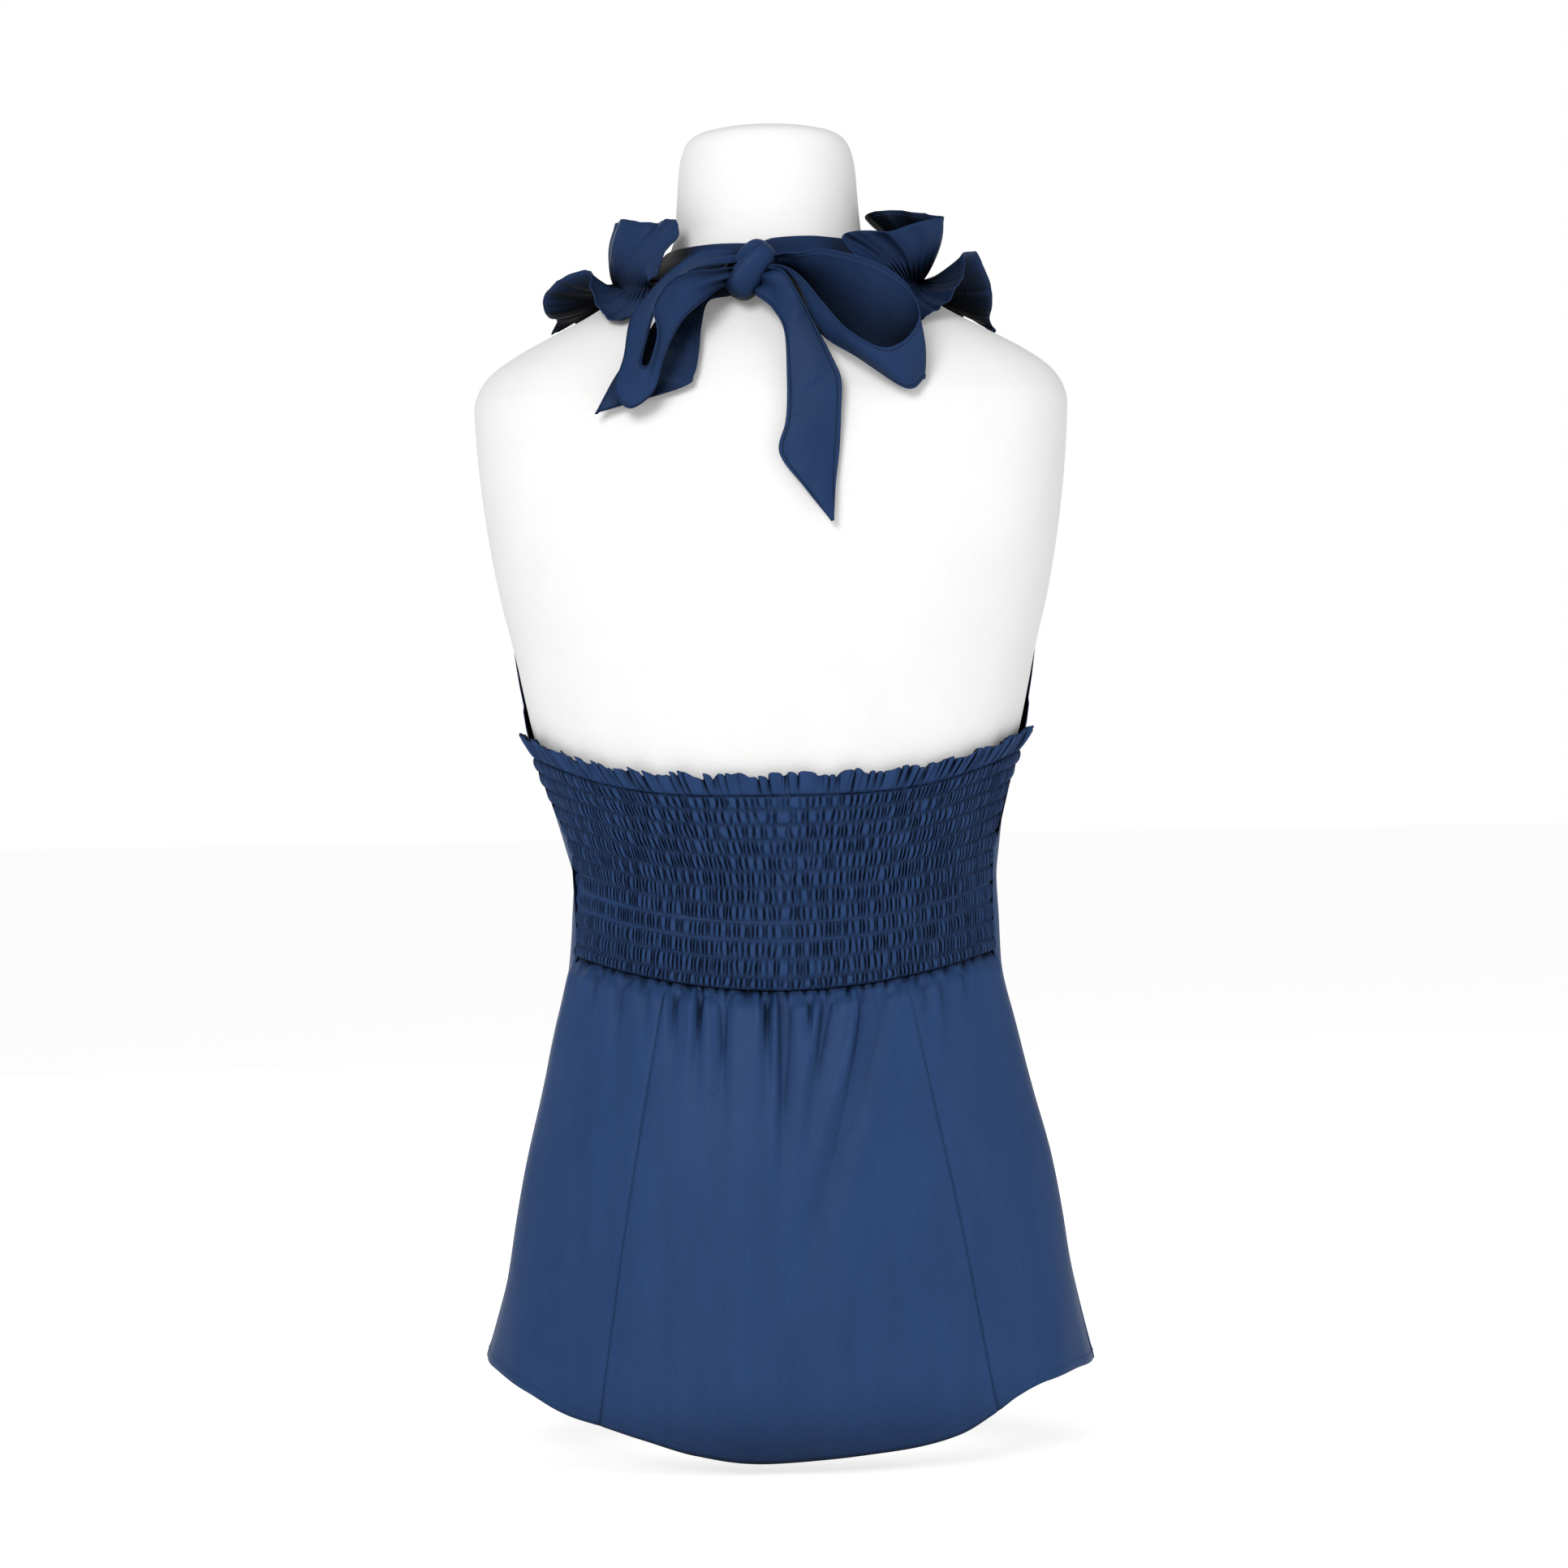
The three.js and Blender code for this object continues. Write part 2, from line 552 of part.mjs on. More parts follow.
// Mesh from a list of points and triangles
class Shell {
  constructor() {
    this.points = [];
    this.faces = [];
  }

  add(point) {
    this.points.push(point.x, point.y, point.z);
    return this.points.length / 3 - 1;
  }

  addRows(rows) {
    return rows.map((row) => row.map((point) => this.add(point)));
  }

  // Strip between two rows of corners that may differ in number
  zip(low, high, flip) {
    let i = 0;
    let j = 0;
    while (i < low.length - 1 || j < high.length - 1) {
      const nextLow = (i + 1) / (low.length - 1);
      const nextHigh = (j + 1) / (high.length - 1);
      const stepLow = j >= high.length - 1 || (i < low.length - 1 && nextLow <= nextHigh);
      const face = stepLow ? [low[i], low[i + 1], high[j]] : [low[i], high[j + 1], high[j]];
      this.faces.push(...(flip ? face.reverse() : face));
      i += stepLow ? 1 : 0;
      j += stepLow ? 0 : 1;
    }
  }

  cover(rows, flip) {
    for (let k = 1; k < rows.length; k += 1) {
      this.zip(rows[k - 1], rows[k], flip);
    }
  }

  mesh(name, finish) {
    const geometry = new THREE.BufferGeometry();
    geometry.setAttribute('position', new THREE.Float32BufferAttribute(this.points, 3));
    geometry.setIndex(this.faces);
    geometry.computeVertexNormals();
    const mesh = new THREE.Mesh(geometry, new THREE.MeshStandardMaterial(finish));
    mesh.name = name;
    return mesh;
  }
}

// Closed wall between an outer and an inner set of rows; seen from outside a row runs to the right
function wall(name, outerRows, innerRows, finish) {
  const shell = new Shell();
  const outer = shell.addRows(outerRows);
  const inner = shell.addRows(innerRows);
  shell.cover(outer, false);
  shell.cover(inner, true);
  shell.zip(inner[0], outer[0], false);
  shell.zip(outer.at(-1), inner.at(-1), false);
  shell.zip(outer.map((row) => row[0]), inner.map((row) => row[0]), false);
  shell.zip(inner.map((row) => row.at(-1)), outer.map((row) => row.at(-1)), false);
  return shell.mesh(name, finish);
}

function range(count) {
  return Array.from({ length: count + 1 }, (unused, i) => i / count);
}

// Seen from outside, the turn falls from left to right on the back
function gridWall(name, rowShares, columnShares, place, finish) {
  const rowsAt = (side) => rowShares.map((v) => columnShares.map((u) => place(u, v, side)));
  return wall(name, rowsAt(1), rowsAt(0), finish);
}

// Closed solid of rings around an axis, with a centre point at each end
function ringSolid(name, rings, lowPole, highPole, finish) {
  const shell = new Shell();
  const rows = shell.addRows(rings).map((row) => [...row, row[0]]);
  shell.cover(rows, false);
  const low = shell.add(lowPole);
  const high = shell.add(highPole);
  const count = rings[0].length;
  for (let i = 0; i < count; i += 1) {
    shell.faces.push(low, rows[0][i + 1], rows[0][i]);
    shell.faces.push(high, rows.at(-1)[i], rows.at(-1)[i + 1]);
  }
  return shell.mesh(name, finish);
}

function dressForm() {
  const turns = Array.from({ length: FORM_TURNS }, (unused, i) => -(i * 360) / FORM_TURNS);
  const rings = FORM.map((row) => turns.map((turn) => formPoint(turn, row.z)));
  const foot = new THREE.Vector3(0, 0, 0);
  const crown = new THREE.Vector3(0, 0, FORM_CROWN);
  return ringSolid('dress_form', rings, foot, crown, CANVAS);
}

// Height of the smocked panel's lower edge at a turn
function smockBottom(turn) {
  const reach = Math.sin(Math.abs(turn) * DEG) / Math.sin(SMOCK.bottomTurn * DEG);
  return SMOCK.bottom + SMOCK.bottomRise * Math.min(1, reach) ** SMOCK.bottomPower;
}

function smockTop(turn) {
  const reach = Math.sin(Math.abs(turn) * DEG) / Math.sin(SMOCK.topTurn * DEG);
  return SMOCK.top + SMOCK.topRise * Math.min(1, reach) ** SMOCK.topPower;
}

// Shares of the panel's height at which the elastic thread is stitched, bottom first
function stitchShares() {
  const height = SMOCK.top - SMOCK.bottom;
  const shares = [(height - SMOCK.heading) / height];
  let down = SMOCK.heading;
  for (let i = 0; i < SMOCK.bands; i += 1) {
    down += SMOCK.firstBand + SMOCK.bandGrowth * i;
    shares.unshift((height - down) / height);
  }
  return [0, ...shares];
}

// Turn of the back pieces' side edge, a gap short of the front
function seamTurn(z) {
  return sideTurn(z) - SIDE_GAP / clothBase(90, z).x / DEG;
}

// One place on the smocked panel: across runs from -1 to 1 and share from the lower edge up
function smockPlace(across, share, lift) {
  const turn = across * seamTurn(mix(SMOCK.cornerLow, SMOCK.cornerHigh, share));
  const z = mix(smockBottom(turn), smockTop(turn), share);
  return clothPoint(turn, z, EASE + lift);
}

function backSmocked() {
  const stitches = stitchShares();
  const puckerPoints = SMOCK.puckers * 2;
  const pucker = (share, ridge, valley) => {
    return range(puckerPoints).map((u, i) => {
      const phase = i * SMOCK.unevenAlong + share * SMOCK.unevenUp;
      const uneven = 1 + SMOCK.uneven * Math.sin(phase);
      const lift = i % 2 === 1 ? ridge * uneven : valley;
      return smockPlace(1 - 2 * u, share, WALL + lift);
    });
  };
  const plain = (share, count, lift) => {
    return range(count).map((u) => smockPlace(1 - 2 * u, share, lift));
  };
  const outer = [];
  stitches.forEach((share, k) => {
    outer.push(plain(share, SMOCK.stitchPoints, WALL));
    if (k < stitches.length - 1) {
      outer.push(pucker((share + stitches[k + 1]) / 2, SMOCK.ridge, SMOCK.valley));
    }
  });
  outer.push(pucker(1, SMOCK.frill, SMOCK.valley));
  const inner = range(SMOCK.insideRows).map((share) => plain(share, SMOCK.stitchPoints, 0));
  return wall('back_smocked', outer, inner, NAVY_DEEP);
}

// Height of the cloth above its hanging surface, from its gathers and flutes
function drape(turn, z) {
  const place = clothBase(turn, z);
  const back = facesBack(turn);
  const top = smockBottom(turn);
  const drop = Math.max(0, top - z);
  let lift = 0;
  if (back) {
    const side = 1 - smoothStep((Math.abs(turn) - PUFF.sideTurn) / PUFF.sideSpan);
    const settled = 1 - PUFF.settle * smoothStep(drop / PUFF.settleDrop);
    lift += PUFF.height * side * smoothStep(drop / PUFF.drop) * settled;
    for (const fold of GATHERS) {
      const share = drop / fold.length;
      const off = (place.x - mix(fold.topX, fold.endX, Math.min(1, share))) / fold.width;
      const fade = smoothStep(drop / PUFF.foldDrop) * (1 - smoothStep(share));
      lift -= fold.depth * PUFF.foldShare * side * fade * Math.exp(-off * off);
    }
  }
  for (const flute of FLUTES) {
    const near = (flute.face === 'back') === back ? 1 : 0;
    const off = (place.x - flute.x) / flute.width;
    const side = smoothStep((Math.abs(Math.cos(turn * DEG)) - FLUTE_EDGE.from) / FLUTE_EDGE.span);
    const open = smoothStep((flute.startZ - z) / (flute.startZ - FLUTE_FOOT));
    lift += near * side * flute.height * open * Math.exp(-off * off);
  }
  return Math.max(0, lift);
}

// Back skirt panel between two seams, each given as a turn at a height
function skirtPanel(name, leftSeam, rightSeam, columns) {
  const place = (u, v, side) => {
    const turn = mix(leftSeam(v), rightSeam(v), u);
    const top = smockBottom(turn) - SEAM;
    const z = mix(hemHeight(turn), top, v);
    return clothPoint(turn, z, EASE + drape(turn, z) + side * WALL);
  };
  return gridWall(name, range(SKIRT_ROWS), range(columns), place, NAVY);
}

// Turn of a slanting seam at a share of the skirt's height
function skirtSeam(seam, shift) {
  return (share) => {
    const x = mix(seam.hemX, seam.topX, share) + shift;
    return turnAtX(x, mix(SKIRT_FOOT, SMOCK.bottom, share));
  };
}

// Height on the side seam at a share of the skirt's height
function sideHeight(sign, share) {
  return mix(hemHeight(sign * sideTurn(0)), SMOCK.cornerLow, share);
}

function sideSeam(sign) {
  return (share) => sign * seamTurn(sideHeight(sign, share));
}

function backSkirts() {
  const [left, right] = SKIRT_SEAMS;
  const centre = [skirtSeam(left, -PANEL_GAP), skirtSeam(right, PANEL_GAP)];
  const { side } = SKIRT_COLUMNS;
  return [
    skirtPanel('back_side_left', sideSeam(1), skirtSeam(left, PANEL_GAP), side),
    skirtPanel('back_centre', ...centre, SKIRT_COLUMNS.centre),
    skirtPanel('back_side_right', skirtSeam(right, -PANEL_GAP), sideSeam(-1), side),
  ];
}

// Front panel as cross rows from the side edge to the centre edge
function frontPlace(sign, u, row, lift) {
  const middle = row.middle <= NECK_EDGE[0].z ? 180 : neckTurn(row.middle);
  const turn = sign * mix(sideTurn(row.side), Math.min(middle, CENTRE_TURN), u);
  const z = mix(row.side, row.middle, u);
  return clothPoint(turn, z, EASE + drape(turn, z) + lift);
}

// Cross row of the front skirt, level with the back skirt's rows at the side seam
function frontSkirtPlace(sign, u, share, lift) {
  const turn = sign * mix(sideTurn(sideHeight(sign, share)), CENTRE_TURN, u);
  const waist = mix(SMOCK.cornerLow, FRONT_WAIST, u);
  const z = mix(hemHeight(turn), waist, share);
  return clothPoint(turn, z, EASE + drape(turn, z) + lift);
}

function frontPanel(name, sign) {
  const shares = range(FRONT_COLUMNS).map((u) => (sign > 0 ? 1 - u : u));
  const rowsAt = (lift) => [
    ...range(SKIRT_ROWS).map((v) => shares.map((u) => frontSkirtPlace(sign, u, v, lift))),
    ...FRONT_ROWS.map((row) => shares.map((u) => frontPlace(sign, u, row, lift))),
  ];
  return wall(name, rowsAt(WALL), rowsAt(0), NAVY);
}

// Flat ribbon round the neck, from the strap end to the knot
function neckTie(name, rows) {
  const sorted = rows[0].turn > 0 ? rows : [...rows].reverse();
  const place = (u, row, lift) => {
    const off = row.off * (1 - TIE_LEAN * u);
    return raised(formPoint, row.turn, mix(row.low, row.top, u), EASE + off + lift);
  };
  const rowsAt = (lift) => range(3).map((u) => sorted.map((row) => place(u, row, lift)));
  return wall(name, rowsAt(WALL), rowsAt(0), NAVY_DEEP);
}

// Ribbon from its two edges, with the wall on both sides of its middle surface
function ribbon(name, rows, steps, finish) {
  const last = rows.length - 1;
  const numbered = rows.map((row, i) => ({ ...row, i }));
  const edge = tracks(numbered, 'i', ['x', 'y', 'z', 'farX', 'farY', 'farZ']);
  const middle = (t, w) => {
    const near = new THREE.Vector3(edge.x(t), edge.y(t), edge.z(t));
    const far = new THREE.Vector3(edge.farX(t), edge.farY(t), edge.farZ(t));
    return near.lerp(far, w);
  };
  const place = (t, w, lift) => {
    const step = 0.02;
    const along = middle(Math.min(last, t + step), w).sub(middle(Math.max(0, t - step), w));
    const across = middle(t, 1).sub(middle(t, 0));
    const normal = along.cross(across).normalize();
    return middle(t, w).addScaledVector(normal, lift);
  };
  const rowsAt = (lift) => range(2).map((w) => range(steps).map((s) => place(s * last, w, lift)));
  return wall(name, rowsAt(WALL / 2), rowsAt(-WALL / 2), finish);
}

function bowKnot() {
  const axis = KNOT.to.clone().sub(KNOT.from);
  const length = axis.length();
  axis.normalize();
  const deep = new THREE.Vector3(0, 1, 0);
  const wide = new THREE.Vector3().crossVectors(deep, axis).normalize();
  const rings = range(KNOT.rings).slice(1, -1).map((t) => {
    const swell = Math.sin(Math.PI * mix(KNOT.endShare, 1 - KNOT.endShare, t)) ** KNOT.fullness;
    const centre = KNOT.from.clone().addScaledVector(axis, length * t);
    return Array.from({ length: KNOT.points }, (unused, i) => {
      const angle = (i * 2 * Math.PI) / KNOT.points;
      const fold = Math.cos(angle * KNOT.creases + t * KNOT.creaseSlant);
      const crease = 1 + KNOT.creaseDepth * fold;
      return centre.clone()
        .addScaledVector(wide, KNOT.wide * swell * crease * Math.cos(angle))
        .addScaledVector(deep, KNOT.deep * swell * crease * Math.sin(angle));
    });
  });
  return ringSolid('bow_knot', rings, KNOT.from, KNOT.to, NAVY_DEEP);
}

// One row of a ruffle: a seam point and its two free edges
function ruffleRows(side) {
  const sign = side === 'left' ? 1 : -1;
  const onCloth = EASE + WALL + RUFFLE_OFF;
  const rear = RUFFLES[side].map((row) => ({
    seam: raised(formPoint, row.turn, row.z, onCloth),
    outer: new THREE.Vector3(row.outX, row.outY, row.outZ),
    inner: new THREE.Vector3(row.inX, row.inY, row.inZ),
  }));
  const strap = FRONT_ROWS.findIndex((row) => row.middle > NECK_EDGE[0].z);
  const rowAt = track(FRONT_ROWS.map((row, i) => ({ ...row, i })), 'i', 'side');
  const middleAt = track(FRONT_ROWS.map((row, i) => ({ ...row, i })), 'i', 'middle');
  const seamAt = (t) => {
    const index = mix(FRONT_ROWS.length - 2, strap, t);
    const across = smoothStep(t * FRONT_RUFFLE.strapPace);
    const share = mix(FRONT_RUFFLE.strapShare, FRONT_RUFFLE.lowShare, across);
    const row = { side: rowAt(index), middle: middleAt(index) };
    return (lift) => frontPlace(sign, share, row, lift + WALL + RUFFLE_OFF);
  };
  const front = range(FRONT_RUFFLE.steps).map((t) => {
    const seam = seamAt(t)(0);
    const normal = seamAt(t)(1).sub(seam).normalize();
    const along = seamAt(t + 0.01)(0).sub(seam).normalize();
    const out = normal.clone().cross(along).multiplyScalar(sign).normalize();
    const phase = 2 * Math.PI * FRONT_RUFFLE.waves * t;
    const taper = smoothStep((t - FRONT_RUFFLE.taperFrom) / (1 - FRONT_RUFFLE.taperFrom));
    const outerReach = mix(FRONT_RUFFLE.outerReach, FRONT_RUFFLE.outerReachLow, taper);
    const full = outerReach / FRONT_RUFFLE.outerReach;
    const rise = (FRONT_RUFFLE.lift + FRONT_RUFFLE.swing * Math.sin(phase)) * full;
    const down = smoothStep(t / FRONT_RUFFLE.shoulderShare);
    const stand = mix(FRONT_RUFFLE.shoulderLift, FRONT_RUFFLE.lift, down);
    const innerSwing = FRONT_RUFFLE.swing * Math.sin(phase + FRONT_RUFFLE.innerPhase);
    const innerRise = (stand + innerSwing) * full;
    const slide = FRONT_RUFFLE.slide * Math.cos(phase);
    const innerTop = (FRONT_RUFFLE.innerReach * (1 + down)) / 2;
    const wanted = mix(innerTop, FRONT_RUFFLE.innerReachLow, t);
    const reach = Math.min(wanted, Math.abs(seam.x) - FRONT_RUFFLE.centreGap);
    const outer = seam.clone()
      .addScaledVector(out, outerReach)
      .addScaledVector(normal, rise)
      .addScaledVector(along, slide);
    const inner = seam.clone()
      .addScaledVector(out, -reach)
      .addScaledVector(normal, innerRise)
      .addScaledVector(along, -slide);
    return { seam, outer, inner };
  });
  return [...rear, ...front];
}

// Gathered strip, sewn down along its middle
function ruffle(side) {
  const rows = ruffleRows(side);
  const path = {
    seam: new THREE.CatmullRomCurve3(rows.map((row) => row.seam)),
    outer: new THREE.CatmullRomCurve3(rows.map((row) => row.outer)),
    inner: new THREE.CatmullRomCurve3(rows.map((row) => row.inner)),
  };
  const at = (t, w) => {
    const seam = path.seam.getPoint(t);
    const edge = (w > 0 ? path.outer : path.inner).getPoint(t);
    const bow = RUFFLE_BOW * Math.abs(w) * (1 - Math.abs(w)) * 4;
    return seam.lerp(edge, Math.abs(w)).add(new THREE.Vector3(0, 0, bow));
  };
  const place = (t, w, lift) => {
    const step = 0.004;
    const along = at(Math.min(1, t + step), w).sub(at(Math.max(0, t - step), w));
    const span = 0.3;
    const low = Math.max(-1, w - span);
    const high = Math.min(1, w + span);
    const across = at(t, high).sub(at(t, low));
    const normal = along.cross(across).normalize();
    return at(t, w).addScaledVector(normal, lift);
  };
  const steps = range(rows.length - 1);
  const turned = side === 'left' ? RUFFLE_SHARES : [...RUFFLE_SHARES].reverse();
  const rowsAt = (lift) => turned.map((w) => steps.map((t) => place(t, w, lift)));
  const up = side === 'left' ? 1 : -1;
  return wall(`ruffle_${side}`, rowsAt(up * (WALL / 2)), rowsAt(-up * (WALL / 2)), NAVY);
}

const top = new THREE.Group();
top.add(dressForm());
top.add(backSmocked());
top.add(...backSkirts());
top.add(frontPanel('front_left', 1));
top.add(frontPanel('front_right', -1));
top.add(neckTie('neck_tie_left', TIES.left));
top.add(neckTie('neck_tie_right', TIES.right));
top.add(bowKnot());
for (const [name, rows] of Object.entries(BOW)) {
  const steps = name.includes('loop') ? BOW_STEPS : TAIL_STEPS;
  top.add(ribbon(name, rows, steps, NAVY_DEEP));
}
top.add(ruffle('left'));
top.add(ruffle('right'));

export default top;
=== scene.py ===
import math

import bpy
import numpy as np
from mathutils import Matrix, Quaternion, Vector


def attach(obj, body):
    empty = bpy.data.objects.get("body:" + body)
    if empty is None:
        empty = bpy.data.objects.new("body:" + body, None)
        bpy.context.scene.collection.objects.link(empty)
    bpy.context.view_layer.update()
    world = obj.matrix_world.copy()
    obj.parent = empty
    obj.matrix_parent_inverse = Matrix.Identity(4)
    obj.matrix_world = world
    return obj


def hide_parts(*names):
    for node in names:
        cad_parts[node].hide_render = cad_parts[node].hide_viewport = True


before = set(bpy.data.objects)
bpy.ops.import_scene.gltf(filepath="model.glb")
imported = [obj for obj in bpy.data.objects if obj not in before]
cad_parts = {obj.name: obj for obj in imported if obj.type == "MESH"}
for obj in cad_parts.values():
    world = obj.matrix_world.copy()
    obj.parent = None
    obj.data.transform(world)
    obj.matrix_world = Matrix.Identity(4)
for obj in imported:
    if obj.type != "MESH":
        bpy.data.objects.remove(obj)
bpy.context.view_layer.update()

# Halter neck top with a smocked back on a limbless dress form, seen from behind.
# Shapes are worked out in millimetres in the frame of the solids: +Z up, the back faces +Y.
# A place on the body has a turn, in degrees from the centre back to the wearer's left, and a height.
MM = 0.001
BODY = "root"

# Camera and light
EYE = Vector((-0.0041, 2.6, 0.412))
VIEW_WIDTH = 0.9815
ROLL = math.radians(-1.0)
SENSOR = 36.0
AMBIENT = 0.52
FLOOR_GLOW = 0.7
FLOOR_SPAN = 30.0
FLOOR_TONE = (0.56, 0.56, 0.56)

# Cloth over the form
WALL = 1.2
EASE = 1.3
CLOTH = 0.7
RIBBON = 0.8
HEM_TURN = 4.5
HEM_STEP = 0.3
HEM_EDGE = 1.2
HEM_STITCH = 5.0
EDGE_STITCH = 4.0
RIBBON_STITCH = 2.0
OUTSIDE = EASE + WALL - CLOTH / 2
# Painted shade: how far the ambient occlusion looks, and the darkest colour it multiplies into the cloth
# in closed folds
PAINTED_SHADE_REACH = 0.06
PAINTED_SHADE_TONE = (0.06, 0.04, 0.03)

# Columns: z, half width, depth in front, depth behind, how square the corners are
FORM = [
    (0, 66, 56, 58, 2.1), (6, 82, 65, 68, 2.1), (20, 105, 77, 81, 2.1), (42, 130, 88, 93, 2.15),
    (70, 149, 95, 101, 2.15), (98, 158.5, 98, 106, 2.15), (140, 160.5, 101, 111.5, 2.15),
    (180, 156, 101, 109, 2.15), (220, 148, 99, 101, 2.15), (260, 136.5, 94, 91, 2.15),
    (298, 127.5, 88, 82, 2.2), (335, 125, 86, 77, 2.2), (366, 127.5, 91, 78.5, 2.25),
    (395, 133.5, 99, 82, 2.3), (420, 143, 107, 86, 2.3), (442, 151, 113, 89, 2.3),
    (466, 156.5, 118, 93, 2.3), (495, 162.5, 120, 97.5, 2.3), (528, 170.5, 116.5, 102, 2.4),
    (564, 177, 104, 105, 2.6), (600, 181.7, 90, 105.5, 2.7), (630, 184.2, 79, 102.5, 2.7),
    (648, 185, 72.5, 99.4, 2.65), (658, 182.5, 69, 96.3, 2.55), (668, 176, 66, 92.7, 2.45),
    (680, 160, 62, 88, 2.35), (692, 138, 57.5, 82, 2.3), (704, 115, 54, 76, 2.25),
    (713, 100.5, 52, 72, 2.15), (721, 87.5, 50, 68.5, 2.1), (729, 75.5, 49, 65.7, 2.05),
    (736, 67.4, 48, 63.2, 2), (744, 61.8, 47, 61.1, 2), (755, 58.4, 46.5, 59.2, 2),
    (776, 56.6, 48.5, 56, 2), (795, 55.2, 51, 53, 2), (807, 52.8, 50.5, 51.5, 2),
    (814, 49, 47.5, 48.2, 2), (818, 43, 42, 42.6, 2), (820.2, 34, 33, 33.6, 2),
]
FORM_CROWN = 821
FORM_COLUMNS = 132

# Columns: lowest level, highest level, how many rings
FORM_LEVELS = [(0, 640, 90), (643, 810, 66), (811, 820.2, 10)]
BUST = {"z": 482, "apart": 86, "turn": 150, "rise": 25, "wide": 44, "tall": 45, "clear": 1}

# Columns: z, half width, depth in front, depth behind, sway to one side
HANG = [
    (0, 198.8, 123, 121, 0), (30, 192.8, 121.5, 120, 0), (54, 187.3, 120, 118.7, -0.8),
    (80, 180.3, 118, 117.5, -1.6), (110, 173, 116, 116, -2.5), (145, 167.2, 114, 114, -3),
    (180, 160.8, 112, 110.5, -3.2), (220, 150.8, 110, 103, -2.6), (260, 141.8, 107, 94, -2),
    (286, 135.3, 105, 86.5, -2), (300, 132.6, 104, 83.5, -2.6), (330, 130.9, 103, 79.5, -3.3),
    (352, 130.1, 104, 78, -3.3), (374, 133.3, 108, 80, -2.4), (400, 138.8, 114.5, 83.5, -0.8),
    (420, 144.8, 120.5, 86.5, 0), (450, 154, 129.5, 90.5, 0), (466, 156, 131, 93, 0),
]
HANG_TOP = 462
HANG_FALL = 1.5

# Columns: z, turn
SIDE_EDGE = [
    (0, 86), (200, 86), (245, 84.5), (270, 82), (290, 77.5), (307, 73), (340, 72.5), (375, 73),
    (405, 77.5), (428, 83), (446, 88), (478, 92), (510, 100), (545, 113), (590, 127), (630, 136),
    (665, 138.5), (690, 134), (705, 124), (714, 113), (718, 105),
]
NECK_EDGE = [
    (517, 180), (560, 176.7), (600, 174), (650, 169.6), (690, 158), (712, 141.8), (725, 126),
    (738, 105),
]

# Columns: turn, z
HEM = [
    (-180, 22), (-145, 29), (-112, 43), (-86, 50.5), (-68, 51), (-52, 47), (-44, 40), (-38, 31),
    (-30, 20.5), (-20, 13.5), (-11, 11), (3, 7.2), (15, 12), (25, 21.5), (34, 28.5), (40, 32.5),
    (53, 45.5), (72, 56), (86, 58.5), (112, 46), (145, 30), (180, 22),
]

# Columns: height on the side edge, height on the centre edge
FRONT_ROWS = [
    (308, 308), (330, 332), (352, 356), (372, 380), (387, 397), (401, 412), (416, 427), (431, 443),
    (446, 460), (462, 480), (478, 500), (494, 517), (512, 538), (534, 562), (560, 588), (590, 616),
    (618, 642), (644, 666), (665, 686), (680, 700), (692, 711), (702, 720), (710, 727), (715, 733),
    (718, 738),
]

SMOCK = {
    "top": 418, "top_rise": 27.5, "top_power": 3.2, "top_turn": 88,
    "bottom": 286.5, "bottom_rise": 20.5, "bottom_power": 1.74, "bottom_turn": 73,
    "corner_low": 307, "corner_high": 445.5,
    "heading": 12.3, "first_band": 8.8, "band_growth": 0.27, "bands": 11,
}
SMOCK_COLUMNS = 1060
BAND_ROWS = 7
PUCKERS = 118
PUCKER_HEIGHT = 2.3
VALLEY_SHARE = 0.19
HEADING_FOLDS = 62
SMOCK_INSIDE = 0.2

# Columns: x at the waist, x at the hem
SKIRT_SEAMS = [(68, 111.6), (-74.5, -124.4)]
SKIRT_FOOT = 30

# Gathers under the smocking. Columns: top x, end x, length, width, depth, lean of the fold
GATHERS = [
    (109, 119, 70, 4, 1.8, 0.3), (96, 101, 95, 5, 2.2, 0.5), (79, 82, 60, 4, 1.8, -0.3),
    (62.5, 66, 80, 4, 2.2, 0.4), (48, 53, 90, 4, 3, 0.5), (33, 38, 120, 5, 3.2, -0.4),
    (8.6, 10, 90, 4, 2.4, 0.3), (-1.2, 2, 170, 4.5, 4.2, 0.6), (-18, -16, 80, 4, 2, -0.3),
    (-28, -8, 130, 5, 3.4, 0.5), (-48.7, -38, 110, 5, 2.8, 0.4), (-60.4, 12, 240, 8, 4.4, 0.3),
    (-85, -90, 70, 4, 1.8, -0.4), (-95, -102, 80, 4, 1.8, 0.3), (-108, -116, 60, 4, 1.6, -0.3),
]
CENTRE_GAP = 0.12
FRONT_DEPTH = 150
PUFF = 4.2
PUFF_DROP = 13

# Flutes that open towards the hem. Columns: x, height where it starts, width, height, side
FLUTES = [
    (152, 250, 16, 5, 1), (84, 230, 17, 4, 1), (30, 200, 19, 3.5, 1), (-36, 220, 20, 4, 1),
    (-98, 230, 16, 3.5, 1), (-156, 250, 15, 5, 1), (150, 260, 18, 5, -1), (92, 300, 19, 5, -1),
    (34, 240, 17, 4, -1), (-28, 250, 18, 4, -1), (-88, 300, 20, 5, -1), (-148, 260, 18, 5, -1),
]

# Ties round the neck. Columns: turn, upper edge, lower edge, how far it stands off
TIES = {
    "left": [
        (104.2, 738, 718, 0), (92, 739.5, 719.5, 0), (78, 741, 720.5, 0.2), (64, 742, 720.5, 0.5),
        (50, 742, 720, 1), (38, 741.8, 719, 2.2), (28, 741.2, 719.5, 4), (12.5, 740, 723.5, 6),
    ],
    "right": [
        (-104.2, 738, 718, 0), (-92, 740.5, 720, 0), (-78, 743, 722, 0.2), (-64, 745, 722.5, 0.4),
        (-50, 746, 722, 0.8), (-36, 746, 721.5, 1.6), (-22, 745.6, 722, 3.4), (-4, 743.6, 724, 5.4),
    ],
}

